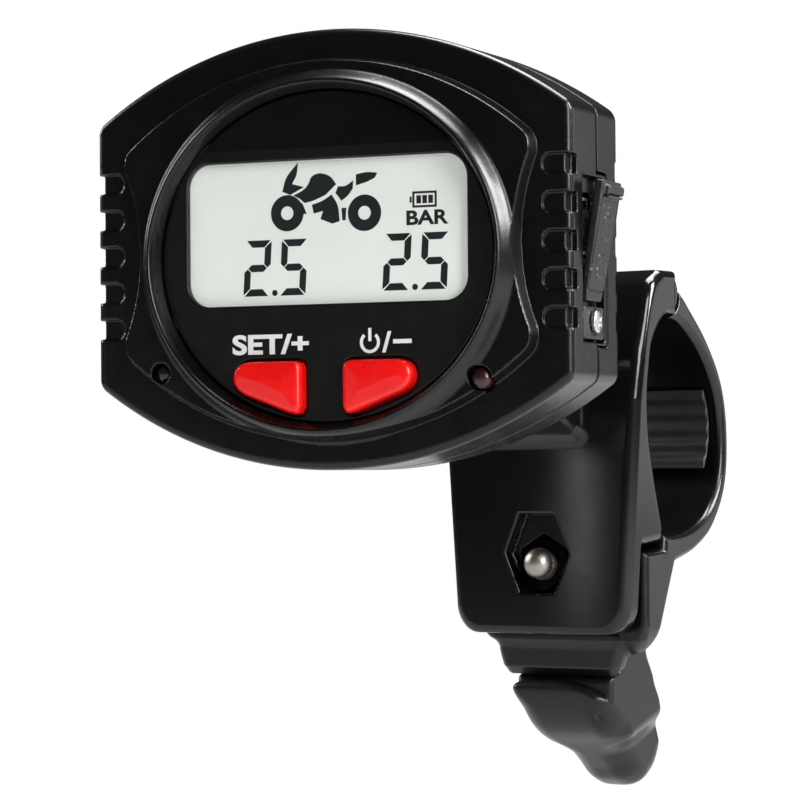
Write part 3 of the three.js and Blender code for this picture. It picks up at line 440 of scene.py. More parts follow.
def fascia_material():
    """Fine satin below, with a smooth glossy field above the display."""
    n = Nodes("fascia_plastic")
    above = n.math("GREATER_THAN", n.height(), HEAD_FRAME.translation.z + GLOSS_FROM * MM)
    satin = n.ramp(n.noise(260, 4), 0.3, 0.7, 0.3, 0.4)
    colour = n.ramp(n.noise(120, 3), 0.3, 0.7, (0.003, 0.003, 0.0034), (0.0044, 0.0044, 0.005))
    n.set(Base_Color=colour, Roughness=n.mix(above, satin, (0.2, 0.2, 0.2)), Specular_IOR_Level=0.36)
    n.bump(n.noise(3800, 2, 0.6), 0.00001)
    return n.material


def button_material():
    """Red silicone with a thin clear skin."""
    n = Nodes("red_button")
    colour = n.ramp(n.noise(180, 3), 0.3, 0.7, (0.8, 0.003, 0.003), (0.92, 0.007, 0.006))
    n.set(Base_Color=colour, Roughness=n.ramp(n.noise(500, 4), 0.3, 0.7, 0.24, 0.34), Coat_Weight=0.12,
          Coat_Roughness=0.1)
    n.bump(n.noise(1400, 2), 0.00001)
    return n.material


def lamp_material(name, tone, transmission):
    """Tinted lamp resin, clouded inside."""
    n = Nodes(name)
    colour = n.ramp(n.noise(1800, 4, 0.7), 0.35, 0.7, shade(tone, 0.5), tone)
    n.set(Base_Color=colour, Roughness=n.ramp(n.noise(2600, 4), 0.3, 0.7, 0.18, 0.4),
          Transmission_Weight=transmission, IOR=1.5, Coat_Weight=0.1, Coat_Roughness=0.1)
    n.bump(n.noise(3000, 3), 0.00003)
    return n.material


def lcd_material():
    """Pale display glass: darker towards the top as a painted shade of the bezel above it, faint mottling, a
    fine reflector grain and a faint painted glow.
    """
    n = Nodes("lcd_glass")
    low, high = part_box("lcd_cell")
    span = n.new("MapRange")
    span.inputs["From Min"].default_value = low.z
    span.inputs["From Max"].default_value = high.z
    n.link(n.height(), span.inputs["Value"])
    # The colour darkens from the display's bottom to its top: a painted shade standing in for the bezel's
    # shadow.
    tint_with_top_shade = n.ramp(span.outputs["Result"], 0.0, 1.0, (0.67, 0.70, 0.655), (0.61, 0.64, 0.60))
    mottle = n.ramp(n.noise(140, 4), 0.35, 0.7, 0.0, 0.22)
    colour = n.mix(mottle, tint_with_top_shade, (0.56, 0.6, 0.57))
    # The display glows faintly in its own colour: a painted glow that brightens it, though it is no lamp.
    n.set(Base_Color=colour, Roughness=n.ramp(n.noise(3000, 2), 0.3, 0.7, 0.32, 0.42), Emission_Color=colour,
          Emission_Strength=0.38)
    return n.material


def lens_material():
    """Clear window: it lets the display's light through and adds a thin reflection."""
    n = Nodes("clear_window")
    clear = n.new("BsdfTransparent")
    mixer = n.new("MixShader")
    tilt = n.new("LayerWeight").outputs["Facing"]
    shine = n.math("ADD", n.math("MULTIPLY", n.math("POWER", tilt, 5.0), 0.8), 0.025)
    n.set(Base_Color=(0.8, 0.8, 0.8), Roughness=n.ramp(n.noise(300, 3), 0.3, 0.7, 0.03, 0.07), Metallic=1.0)
    n.link(shine, mixer.inputs[0])
    n.link(clear.outputs[0], mixer.inputs[1])
    n.link(n.shader.outputs[0], mixer.inputs[2])
    n.link(mixer.outputs[0], n.tree.nodes["Material Output"].inputs["Surface"])
    return n.material


FASCIA = fascia_material()
BUTTON_RED = button_material()
LED_RED = lamp_material("led_red", (0.036, 0.005, 0.007), 0.05)
SMOKE = lamp_material("smoked_lens", (0.02, 0.02, 0.02), 0.3)
LCD = lcd_material()
WINDOW = lens_material()

# ---- head: outlines

CASE_HALF = 36.0
CASE_TOP = 30.4
CASE_ARC = 60.0
PARTING = 9.7
CASE_BACK = 18.8
WALL = 2.0
NOTCH_PITCH = 5.15
FACE_X = 0.6
COLLAR_Z = -1.1
DISPLAY_Z = 2.3
BUTTON_GAP = 0.35
ALARM_LAMP = (23.3, -18.2)
DAYLIGHT_LENS = (-25.0, -16.7)
COVER_SCREW = (8.3, -10.6)
SCREW_POSTS = ((-28, 13), (28, 13), (-28, -13), (28, -13))


def case_outline(x, z):
    """The case seen from the front: an arc above and below, straight sides."""
    middle = CASE_ARC - CASE_TOP
    arcs = np.maximum(np.hypot(x, z + middle), np.hypot(x, z - middle)) - CASE_ARC
    return round_max(arcs, np.abs(x) - CASE_HALF, 0.9)


def panel_outline(x, z):
    """The raised panel: arcs above and below, sides drawn in to a waist."""
    peak, corner_x, corner_z, waist = 26.4, 32.0, 13.5, 28.8
    rise = peak - corner_z
    arc = (corner_x ** 2 + rise ** 2) / (2 * rise)
    pinch = corner_x - waist
    side = (corner_z ** 2 + pinch ** 2) / (2 * pinch)
    lens = np.maximum(np.hypot(x, z + arc - peak), np.hypot(x, z - arc + peak)) - arc
    waisted = side - np.hypot(np.abs(x) - waist - side, z)
    return round_max(lens, waisted, 2.6)


def ease(t):
    """1 below 0, 0 above 1, with a smooth fall between."""
    return 0.5 * (1 + np.cos(np.pi * np.clip(t, 0, 1)))


def collar_distance(x, z):
    """Distance from the crest of the collar."""
    return ellipse(x - FACE_X, z - COLLAR_Z, 26.3, 23.9)


def face_depth(x, z):
    """Where the front shell's face lies: rim at 0, raised panel, and the collar round the display."""
    panel = ease((panel_outline(x, z) + 0.75) / 0.8)
    d = collar_distance(x, z)
    collar = np.where(d > 0, ease(d / 2.0), ease(-d / 1.5))
    return -1.9 * panel - 2.45 * collar


def notch_row(z):
    """Height above the middle of the nearest of the five notches."""
    return z - NOTCH_PITCH * np.clip(np.round(z / NOTCH_PITCH), -2, 2)


def notch(x, y, z, edge):
    """The five notches in each side, at the front edge (edge 0) or the back one."""
    near = np.abs(y - edge) - 2.3
    return round_max(round_max(np.abs(notch_row(z)) - 1.3, CASE_HALF - 1.0 - np.abs(x), 0.3), near, 0.3)


def finger_dimple(x, y, z):
    """A shallow recess on the face beside each notch."""
    return round_max(rect(np.abs(x) - 34.1, notch_row(z), 2.3, 1.35, 1.2), y - 0.35, 0.15)


BUTTON_OUTLINE = path(
    [(4.2, -15.4)], [(11.2, -15.4)],
    [(11.2, -15.4), (12.6, -15.8), (13.4, -16.8), (13.5, -18.1), (12.9, -19.2), (11.8, -20.0)],
    [(4.9, -22.6)], [(4.9, -22.6), (3.7, -22.7), (3.1, -21.7)], [(3.1, -16.4)],
    [(3.1, -16.4), (3.4, -15.7), (4.2, -15.4)],
)


def button_outline(x, z, side):
    return polygon(side * (x - FACE_X), z, BUTTON_OUTLINE)


def display_hole(x, z, grow=0.0):
    return rect(x - FACE_X, z - DISPLAY_Z, 21.1 + grow, 9.9 + grow, 3.3 + grow)


def usb_reach(x, y, z, grow=0.0):
    """The part of the side wall that belongs to the front shell, where it carries the cover."""
    low = (CASE_HALF - WALL - grow, PARTING - 1, -13.8 - grow)
    high = (CASE_HALF + 1, 13.2 + grow, 9.6 + grow)
    return block(x, y, z, low, high, 0.6)


def flap_recess(x, y, z):
    """The shallow bed of the cover and its anchor."""
    return block(x, y, z, (CASE_HALF - 1.5, 4.2, -13.4), (CASE_HALF + 3, 12.4, 9.1), 0.25)


def usb_port(x, y, z):
    """The opening for the plug."""
    mouth = round_max(rect(y - 8.8, z - 2.5, 2.5, 4.4, 0.5), 27.0 - x, 0.1)
    return round_max(mouth, x - CASE_HALF - 2, 0.1)


# ---- head: shells


def front_shell(x, y, z):
    """The front half with its raised panel and collar, open behind, cut for what shows through it."""
    outline = case_outline(x, z)
    reach = round_max(usb_reach(x, y, z), outline, 0.3)
    d = round_max(round_max(outline, face_depth(x, z) - y, 1.1), y - PARTING + 0.12, 0.22)
    d = np.minimum(d, reach)
    d = carve(d, notch(x, y, z, 0.0), 0.22)
    d = carve(d, finger_dimple(x, y, z), 0.25)
    d = carve(d, np.maximum(outline + WALL, 1.2 - y))
    d = carve(d, np.maximum(ellipse(x - FACE_X, z - COLLAR_Z, 25.2, 22.9), y + 0.6), 0.12)
    d = carve(d, np.maximum(rect(x - FACE_X, z - DISPLAY_Z, 23.4, 12.2, 0.8), -1.0 - y))
    for side in (-1, 1):
        d = carve(d, round_max(button_outline(x, z, side) - BUTTON_GAP, y - 3, 0.1))
    for (px, pz), radius in ((ALARM_LAMP, 1.68), (DAYLIGHT_LENS, 1.45)):
        d = carve(d, np.maximum(np.hypot(x - px, z - pz) - radius, y - 3), 0.15)
    d = carve(d, flap_recess(x, y, z), 0.2)
    return carve(d, usb_port(x, y, z), 0.15)


def rear_shell(x, y, z):
    """The rear half with its screw posts and a shallow bed for a label."""
    outline = case_outline(x, z)
    d = round_max(round_max(outline, y - CASE_BACK, 2.0), PARTING + 0.42 - y, 0.22)
    d = carve(d, usb_reach(x, y, z, 0.3))
    d = carve(d, notch(x, y, z, CASE_BACK + 0.4), 0.22)
    d = carve(d, np.maximum(outline + WALL, y - CASE_BACK + WALL))
    for px, pz in SCREW_POSTS:
        away = np.hypot(x - px, z - pz)
        post = np.maximum(away - 3.9, slab(y, PARTING + 1, CASE_BACK - 1))
        d = np.minimum(d, post)
        d = carve(d, np.maximum(away - 2.9, CASE_BACK - 2 - y), 0.25)
        d = carve(d, away - 1.5)
    label = round_max(rect(x, z - 14.5, 17, 7.0, 1.5), CASE_BACK - 0.35 - y, 0.1)
    return carve(d, label, 0.15)


def fascia(x, y, z):
    """The oval plate inside the collar, cut for the display and the buttons."""
    d = round_max(ellipse(x - FACE_X, z - COLLAR_Z, 25.0, 22.7), slab(y, -2.0, -0.9), 0.2)
    d = carve(d, display_hole(x, z), 0.3)
    for side in (-1, 1):
        d = carve(d, button_outline(x, z, side) - BUTTON_GAP, 0.25)
    return d


def window_lens(x, y, z):
    return round_max(display_hole(x, z, -0.25), slab(y, -1.9, -1.0), 0.12)


def push_button(side):
    """A domed cap with a flange behind the face."""
    def shape(x, y, z):
        outline = button_outline(x, z, side)
        crown = -3.75 - 0.12 * np.clip(-outline, 0, 2.5)
        cap = round_max(outline, np.maximum(crown - y, y - 1.6), 0.85)
        flange = round_max(outline - 1.0, slab(y, 1.5, 2.3), 0.1)
        return np.minimum(cap, flange)
    return shape


sculpt("case_front", front_shell, (-36.4, -4.8, -30.8), (36.4, 13.4, 30.8), 0.3,
       "head", CASE, ["front_shell"])
sculpt("case_rear", rear_shell, (-36.4, 9.6, -30.8), (36.4, 19.2, 30.8), 0.32,
       "head", CASE, ["rear_shell"])
sculpt("display_fascia", fascia, (-24.9, -2.3, -24.2), (26.0, -0.7, 22.1), 0.2,
       "head", FASCIA, ["fascia_panel"])
sculpt("display_window", window_lens, (-20.9, -2.1, -8.0), (22.1, -0.9, 12.5), 0.25,
       "head", WINDOW, ["window_lens"])
for side, label in ((-1, "left"), (1, "right")):
    x0, x1 = sorted((FACE_X + side * 1.6, FACE_X + side * 15.0))
    sculpt(f"red_button_{label}", push_button(side), (x0, -4.3, -24.4), (x1, 2.6, -14.2), 0.2,
           f"{label}_button", BUTTON_RED, [f"button_{label}"])


# ---- head: cover, socket, lamps

COVER_BEND = (35.4, -7.8)
COVER_OPEN = 0.19


def turned_cover(x, z, open_angle):
    """Undoes the cover's swing about its bend line."""
    cx, cz = x - COVER_BEND[0], z - COVER_BEND[1]
    c, s = math.cos(open_angle), math.sin(open_angle)
    return c * cx - s * cz + COVER_BEND[0], s * cx + c * cz + COVER_BEND[1]


def socket_cover(x, y, z):
    """The rubber tongue: softly bowed, with a thumb ridge, two raised bars and a plug on its back."""
    x, z = turned_cover(x, z, COVER_OPEN)
    bow = 0.25 * np.clip((z - COVER_BEND[1]) / 16, 0, 1) ** 2
    tongue = block(x + bow, y, z, (34.8, 4.6, -7.8), (36.0, 12.0, 8.6), 0.35)
    taper = 2.8 + 0.9 * np.clip((z + 7.8) / 10, 0, 1)
    tongue = round_max(tongue, np.abs(y - 8.3) - taper, 0.35)
    ridge = block(x + bow, y, z, (35.3, 5.4, 6.3), (36.85, 11.2, 8.1), 0.45)
    d = round_min(tongue, ridge, 0.35)
    for low, high in ((-4.6, -1.4), (0.6, 3.8)):
        bar = block(x + bow, y, z, (35.5, 7.0, low), (36.3, 9.6, high), 0.3)
        d = round_min(d, bar, 0.2)
    frame_line = rect(y - 8.3, z - 0.2, 3.1, 6.6, 0.8)
    d = carve(d, np.maximum(np.abs(frame_line) - 0.14, 35.8 - x - bow), 0.06)
    plug = block(x, y, z, (33.1, 7.6, -0.5), (35.2, 10.0, 5.5), 0.5)
    return np.minimum(d, plug)


def cover_anchor(x, y, z):
    """The screwed-down foot of the cover."""
    d = block(x, y, z, (34.8, 4.6, -13.0), (36.0, 12.0, -8.6), 0.35)
    away = np.hypot(y - COVER_SCREW[0], z - COVER_SCREW[1])
    d = carve(d, np.maximum(away - 1.9, 35.75 - x), 0.1)
    return carve(d, away - 0.95)


def helix(u, v, w, pitch):
    """A wave that winds round the w axis once in each pitch."""
    return np.cos(2 * np.pi * (w / pitch + np.arctan2(v, u) / (2 * np.pi)))


def cross_screw(radius, height, shank, length):
    """A pan head with a cross recess; the head's underside is at w 0, and it points along +w."""
    dish = 0.22

    def shape(u, v, w):
        away = np.hypot(u, v)
        dome = w - height + dish * (away / radius) ** 2 * height
        head = round_max(round_max(away - radius, dome, radius * 0.16), -w, 0.05)
        turn = (u + v) * math.sqrt(0.5), (u - v) * math.sqrt(0.5)
        arm = radius * 0.13
        cross = np.minimum(rect(*turn, radius * 0.62, arm, 0.05), rect(*turn, arm, radius * 0.62, 0.05))
        recess = np.maximum(cross, height * 0.35 - w + away * 0.5)
        head = carve(head, recess, 0.03)
        thread = shank - 0.12 + 0.12 * helix(u, v, w, 0.7)
        body = np.maximum(away - thread, slab(w, -length, 0.1))
        return np.minimum(head, body)
    return shape


def stand(shape, place, axis):
    """The shape moved so that its w axis leaves place along x, y or z."""
    px, py, pz = place
    if axis == "x":
        return lambda x, y, z: shape(y - py, z - pz, x - px)
    if axis == "y":
        return lambda x, y, z: shape(z - pz, x - px, y - py)
    return lambda x, y, z: shape(x - px, y - py, z - pz)


def round_lamp(px, pz, radius, tip):
    """A moulded lamp: a domed end, a waist and a foot on the board."""
    def shape(x, y, z):
        away = np.hypot(x - px, z - pz)
        dome = np.hypot(away, np.minimum(y - tip - radius * 0.8, 0) * 1.25) - radius
        stem = round_max(dome, y - 4.6, 0.2)
        return round_min(stem, round_max(away - radius - 0.2, slab(y, 3.4, 4.7), 0.1), 0.2)
    return shape


sculpt("socket_cover", socket_cover, (32.9, 4.3, -8.2), (41.4, 12.3, 9.4), 0.13,
       "usb_cover", COVER_RUBBER, ["usb_flap"])
sculpt("cover_anchor", cover_anchor, (34.6, 4.4, -13.3), (36.2, 12.2, -7.9), 0.13,
       "head", COVER_RUBBER, ["usb_flap_anchor"])
sculpt("cover_screw", stand(cross_screw(1.55, 0.8, 0.6, 3.2), (36.02, *COVER_SCREW), "x"),
       (32.6, 6.6, -12.3), (37.1, 10.0, -8.9), 0.07, "head", STEEL, ["usb_flap_screw"])
sculpt("alarm_lamp", round_lamp(*ALARM_LAMP, 1.5, -2.05), (21.4, -2.2, -20.1), (25.2, 4.9, -16.3), 0.12,
       "head", LED_RED, ["alarm_led"])
sculpt("daylight_lens", round_lamp(*DAYLIGHT_LENS, 1.3, -1.35), (-26.7, -1.6, -18.4), (-23.3, 4.9, -15.0),
       0.12, "head", SMOKE, ["light_sensor"])
for number, (px, pz) in enumerate(SCREW_POSTS, 1):
    sculpt(f"case_back_screw_{number}", stand(cross_screw(2.4, 1.4, 1.2, 10.0), (px, 17.1, pz), "y"),
           (px - 2.6, 6.9, pz - 2.6), (px + 2.6, 18.8, pz + 2.6), 0.15,
           "head", STEEL, [f"case_screw_{number}"])

# ---- head: swivel

SWIVEL_Y = HEAD_TO_SWIVEL
SWIVEL_MID = (swivel.z - HEAD_FRAME.translation.z) / MM
EYE_HALF = 4.0
LUG_NEAR = EYE_HALF + 1.4
FOOT_FRONT = 19.1
FOOT_SCREWS = ((-9.7, -6.2), (9.7, -6.2), (-9.7, -21.8), (9.7, -21.8))
LUG_PLAN = path([(-7.2, 19.6)], [(7.2, 19.6)], [(6.0, SWIVEL_Y)],
                [(6 * math.cos(a), SWIVEL_Y + 6 * math.sin(a)) for a in np.linspace(0, math.pi, 25)])


def swivel_foot(x, y, z):
    """A plate on the head's back with two lugs for the swivel screw."""
    d = round_max(rect(x, z + 14, 12.2, 11.0, 3.0), slab(y, FOOT_FRONT, FOOT_FRONT + 2.6), 0.5)
    plan = polygon(x, y, LUG_PLAN)
    for side in (-1, 1):
        level = side * (z - SWIVEL_MID)
        lug = round_max(plan, slab(level, LUG_NEAR, LUG_NEAR + 3), 0.5)
        d = round_min(d, lug, 0.9)
    d = carve(d, np.hypot(x, y - SWIVEL_Y) - 2.3, 0.15)
    for px, pz in FOOT_SCREWS:
        d = carve(d, np.hypot(x - px, z - pz) - 1.2, 0.15)
    return d


def cap_screw(x, y, z):
    """The swivel's screw: a knurled head with a hexagon socket, and a threaded end."""
    away = np.hypot(x, y)
    knurl = 0.07 * np.cos(48 * np.arctan2(y, x))
    head = round_max(away - 3.75 + knurl, slab(z, 0, 2.6), 0.3)
    head = carve(head, np.maximum(hexagon(x, y, 1.55), 1.0 - z), 0.08)
    thread = np.where(z < -15, 1.88 + 0.1 * helix(x, y, z, 0.7), 1.95)
    return np.minimum(head, round_max(away - thread, slab(z, -22.4, 0.1), 0.3))


def hexagon_nut(radius, bore, height):
    """A chamfered nut that stands on w 0."""
    def shape(u, v, w):
        away = np.hypot(u, v)
        chamfer = (away - radius * 0.93 + (np.abs(w - height / 2) - height / 2) * 1.7) * 0.5
        d = np.maximum(np.maximum(hexagon(u, v, radius * 0.866), slab(w, 0, height)), chamfer)
        return carve(d, away - bore, 0.15)
    return shape


def ring(inner, outer, height):
    """A flat washer that stands on w 0."""
    def shape(u, v, w):
        away = np.hypot(u, v)
        return carve(round_max(away - outer, slab(w, 0, height), 0.15), away - inner, 0.1)
    return shape


SCREW_TOP = SWIVEL_MID + LUG_NEAR + 3.3
NUT_TOP = SWIVEL_MID - LUG_NEAR - 3.3
sculpt("head_foot", swivel_foot, (-12.4, 18.9, -25.2), (12.4, 34.2, -2.8), 0.25,
       "head", CASE, ["swivel_foot"])
sculpt("swivel_cap_screw", stand(cap_screw, (0, SWIVEL_Y, SCREW_TOP), "z"), (-4, 24, SCREW_TOP - 22.6),
       (4, 32, SCREW_TOP + 2.8), 0.16, "head", STEEL, ["swivel_screw"])
sculpt("swivel_hex_nut", stand(hexagon_nut(4.05, 2.3, 3.2), (0, SWIVEL_Y, NUT_TOP - 3.2), "z"),
       (-4.2, 23.8, NUT_TOP - 3.4), (4.2, 32.2, NUT_TOP + 0.2), 0.16, "head", STEEL, ["swivel_nut"])
for name, low in (("upper", SWIVEL_MID + EYE_HALF + 0.3), ("lower", SWIVEL_MID - EYE_HALF - 1.1)):
    sculpt(f"grip_washer_{name}", stand(ring(2.3, 5.4, 0.8), (0, SWIVEL_Y, low), "z"),
           (-5.6, 22.4, low - 0.2), (5.6, 33.6, low + 1.0), 0.16,
           "head", RUBBER, [f"friction_washer_{name}"])
for number, (px, pz) in enumerate(FOOT_SCREWS, 1):
    sculpt(f"foot_pan_screw_{number}", stand(cross_screw(2.1, 1.2, 0.8, 4.6), (px, 22.0, pz), "y"),
           (px - 2.3, 17.2, pz - 2.3), (px + 2.3, 23.4, pz + 2.3), 0.14,
           "head", STEEL, [f"foot_screw_{number}"])

# ---- clamp

JAW_PIN = [v / MM for v in joints["rear_jaw_turn"]["pos_m"][1:]]
CAM_PIN = [v / MM for v in joints["cam_lever_turn"]["pos_m"][1:]]
BOLT_SLOPE = math.radians(12)
CAM_STATION = 20.3
NUT_START = 1.2
BOLT_START = (
    CAM_PIN[0] - CAM_STATION * math.cos(BOLT_SLOPE),
    CAM_PIN[1] + CAM_STATION * math.sin(BOLT_SLOPE),
)
PAD_BACK = 12.1
EYE_Y = swivel.y / MM
EYE_Z = swivel.z / MM

FRONT_JAW = path(
    [(-18, -32)], [(-12.8, -32)], [(-12.8, -18.2)], [(-7, -17.6)],
    [(-6.5, -15.2), (-9.8, -7.3), (-12.3, 0), (-13.3, 6.5), (-12.2, 12.6), (-8.4, 16.9), (-4.6, 17.4)],
    [(-4.6, 24.3)], [(-9.6, 24.3), (-12.9, 22), (-15.4, 16.8), (-17.2, 11), (-18, 4.5)],
)
REAR_JAW = path(
    [(-4.4, 24.3)],
    [(-4.4, 17.4), (0.6, 16), (6.6, 11.8), (11, 6), (12.5, -0.5), (11.9, -7.5), (8.4, -12.8), (3, -15.6),
     (-2.7, -16.6), (-6.1, -16.4)],
    [(-6.4, -18.7)], [(-12.2, -19.1)], [(-12.2, -32.6)], [(-9.6, -35.2)], [(-9, -35.2)], [(-7.6, -31.9)],
    [(-2.5, -20.7), (4.2, -18.8), (9.8, -15.4), (14, -9), (14.9, -0.5), (13.1, 7.4), (8.2, 14.2),
     (1.4, 20.2)],
)
EAR_BOSS = path(
    [(-12.1, -32)], [(-12, -37)], [(-10.8, -38.2)], [(-8.35, -37.4)], [(-8.3, -35)], [(-7.7, -32)],
)
BOLT_POCKET = [(5.7, -19.1), (3.1, -13), (-3.1, -13), (-5.7, -19.1), (-3.1, -25.2), (3.1, -25.2)]
ARM_SIDE = path(
    [(-60, EYE_Z - 4)], [(-45, EYE_Z - 4), (-36, 5.6), (-27, 3.2), (-17, -2)], [(-14, -2)], [(-14, 16.5)],
    [(-17, 16.5), (-27, 15.4), (-36, 14.6), (-45, EYE_Z + 4)], [(-60, EYE_Z + 4)],
)


def bolt_frame(y, z):
    """Distance along the bolt from its start, and above its axis."""
    dy, dz = y - BOLT_START[0], z - BOLT_START[1]
    c, s = math.cos(BOLT_SLOPE), math.sin(BOLT_SLOPE)
    return dy * c - dz * s, dy * s + dz * c


def off_pin(pin, y, z):
    """Distance from a pin's axis."""
    return np.hypot(y - pin[0], z - pin[1])


def pad_seat(x, y, z):
    """The round bed that a jaw's rubber lining lies in."""
    return np.maximum(np.hypot(y, z) - PAD_BACK - 0.3, np.abs(x) - 14.4)


def arm(x, y, z):
    """The front jaw's arm: it narrows towards the swivel and ends in an eye."""
    width = 5.4 + 3.1 * np.clip((y + 50) / 33, 0, 1) ** 2.2
    beam = round_max(np.abs(x) - width, slab(y, EYE_Y, -14), 0.1)
    plan = round_min(beam, np.hypot(x, y - EYE_Y) - 6.0, 2.0)
    d = round_max(plan, polygon(y, z, ARM_SIDE), 1.2)
    return carve(d, np.hypot(x, y - EYE_Y) - 2.3, 0.25)


def front_jaw(x, y, z):
    """The fixed jaw: a faintly crowned plate with hinge cheeks, the arm and the bolt's pocket."""
    taper = 15.6 + 2.4 * np.clip((z + 27) / 37, 0, 1)
    plate = round_max(np.abs(x) - taper, -32 - z, 5.0)
    crown = 0.5 * (x / 16) ** 2 * fade(-y, 13, 16)
    d = round_max(polygon(y - crown, z, FRONT_JAW), plate, 1.7)
    pin = off_pin(JAW_PIN, y, z)
    d = carve(d, np.maximum(pin - 3.9, np.abs(x) - 7.3), 0.3)
    cheek = round_max(pin - 3.4, slab(np.abs(x), 7.3, 16.0), 0.4)
    d = np.minimum(d, cheek)
    d = round_min(d, arm(x, y, z), 1.6)
    d = carve(d, np.maximum(polygon(x, z, BOLT_POCKET), slab(y, -20, -15.8)), 0.3)
    along, above = bolt_frame(y, z)
    d = carve(d, np.maximum(hexagon(above, x, 4.5 * 0.866 + 0.3), slab(along, -2, 3.5)))
    d = carve(d, np.maximum(np.hypot(above, x) - 2.8, slab(along, -2, 12)))
    d = carve(d, pad_seat(x, y, z), 0.2)
    return carve(d, np.maximum(pin - 1.55, x - 14.8), 0.2)


def rear_jaw(x, y, z):
    """The swinging jaw: a hook with a hinge knuckle and a bossed ear that the bolt passes through."""
    side = np.maximum(round_max(-x - 16, -35.2 - z, 10.0), round_max(x - 16, -35.2 - z, 5.0))
    d = round_max(polygon(y, z, REAR_JAW), side, 1.15)
    boss = round_max(polygon(y, z, EAR_BOSS), np.abs(x) - 10.3 - 0.9 * fade(z, -38, -34), 1.5)
    d = round_min(d, boss, 1.0)
    pin = off_pin(JAW_PIN, y, z)
    d = carve(d, np.maximum(pin - 3.9, 7.0 - np.abs(x)), 0.3)
    d = np.minimum(d, round_max(pin - 3.4, np.abs(x) - 7.0, 0.4))
    d = carve(d, pin - 1.8, 0.2)
    along, above = bolt_frame(y, z)
    d = carve(d, np.maximum(np.hypot(above, x) - 3.4, slab(along, 2, 18)))
    return carve(d, pad_seat(x, y, z), 0.2)


def jaw_pad(side):
    """A ribbed rubber lining with rounded ribs across the bar's run."""
    def shape(x, y, z):
        away = np.hypot(y, z)
        angle = np.arctan2(z, side * y)
        ribs = 0.22 * np.cos(angle * 2 * np.pi / 0.22)
        d = round_max(slab(away, 11.5 - ribs, PAD_BACK), (np.abs(angle) - 0.55) * 11.6, 0.18)
        return round_max(d, np.abs(x) - 14, 0.3)
    return shape


def tension_bolt(x, y, z):
    """The bolt: a domed, turned end, a rolled thread and a flat eye round the cam pin."""
    along, above = bolt_frame(y, z)
    away = np.hypot(above, x)
    thread = 2.34 + 0.07 * helix(above, x, along, 0.8)
    shank = np.maximum(away - thread, slab(along, -0.2, CAM_STATION - 1))
    dome = np.maximum(np.hypot(away, along + 0.2) - 2.38, along + 0.1)
    pin = off_pin(CAM_PIN, y, z)
    eye = round_max(pin - 3.0, np.abs(x) - 2.6, 0.3)
    return carve(np.minimum(np.minimum(shank, dome), eye), pin - 1.8, 0.15)


def tension_nut(x, y, z):
    """The nut that the bolt's far end turns in."""
    along, above = bolt_frame(y, z)
    return hexagon_nut(4.3, 2.6, 2.0)(above, x, along - NUT_START)


def cam_saddle(x, y, z):
    """The pale bearing block between the rear jaw and the lever's cam."""
    along, above = bolt_frame(y, z)
    away = np.hypot(above, x)
    d = round_max(away - 5.5, slab(along, 11.5, 15.4), 0.25)
    ear = polygon(y, z, [(-20, -10), (-20, -45), (-13.1, -43.6), (-2.05, -20.9), (2.5, -10)])
    d = carve(carve(d, ear), away - 2.9, 0.2)
    return np.maximum(d, z + 20.6)


LEVER_SIDE = path(
    [(CAM_PIN[0] + 3.1, CAM_PIN[1] + 1), (CAM_PIN[0] - 0.5, CAM_PIN[1] + 3.2), (-1.6, CAM_PIN[1] - 0.4),
     (-3.4, -30.2), (-6, -34.4), (-7.6, -37.6)],
    [(-11.1, -38.7), (-12.2, -39.6), (-12.3, -41.2), (-11.3, -43.9), (-8.6, -47), (-4.2, -49.9), (0.4, -53.2),
     (3.6, -55.7), (7.2, -56.6), (11, -54.2), (13, -49.8), (10.6, -46.4), (6.4, -44.5), (5.2, -42),
     (2.6, -37.8), (1, -34.4), (3, -30.4), (CAM_PIN[0] + 3.3, CAM_PIN[1] - 0.6)],
)
LEVER_LEAN = math.radians(19.1)


def lever_front(x, y, z):
    """Seen square to its leaning front: a broad block that steps in to the finger tip."""
    down = z * math.cos(LEVER_LEAN) - y * math.sin(LEVER_LEAN)
    half = 5.3 + 3.3 * fade(down, -48.2, -43.0)
    return round_max(np.abs(x) - half, -59.4 - down, 4.4) * 0.9


def cam_lever(x, y, z):
    """The lever: a cam on its pin, an arched front, a slot swept by the bolt, and a vent dot."""
    nose = fade(-z, 40, 44) * fade(-y, 0, 6)
    tip = fade(-z, 44.5, 50)
    edge = 0.7 + 0.5 * fade(-z, 38.5, 40.5) + np.maximum(2.8 * nose, 2.6 * tip)
    d = round_max(polygon(y, z, LEVER_SIDE), lever_front(x, y, z), edge)
    arch = z + 38.5 + 0.03 * (x + 2.5) ** 2
    c, s = math.cos(BOLT_SLOPE), math.sin(BOLT_SLOPE)
    cam = np.hypot(y - CAM_PIN[0] + c, z - CAM_PIN[1] - s) - 3.6
    d = round_min(d, round_max(cam, np.abs(x) - 8.6, 0.4), 0.5)
    d = carve(d, np.maximum(-arch, y + 10.4), 1.0)
    pin = off_pin(CAM_PIN, y, z)
    d = carve(d, pin - 1.8, 0.2)
    room = pin - 3.6
    for turn in (0, 27.5, 55, 82.5, 110):
        a = math.pi - BOLT_SLOPE - math.radians(turn)
        along = (y - CAM_PIN[0]) * math.cos(a) + (z - CAM_PIN[1]) * math.sin(a)
        across = (z - CAM_PIN[1]) * math.cos(a) - (y - CAM_PIN[0]) * math.sin(a)
        room = np.minimum(room, np.maximum(np.abs(across) - 2.9, slab(along, 0, 12)))
    d = carve(d, np.maximum(room, np.abs(x) - 3.0), 0.2)
    vent = np.hypot(np.hypot(x - 6.5, y + 10.5), z + 44.9) - 0.8
    return carve(d, vent, 0.25)


def pin_rod(pin, radius, low, high):
    """A plain pin from low to high."""
    def shape(x, y, z):
        return round_max(off_pin(pin, y, z) - radius, slab(x, low, high), 0.25)
    return shape


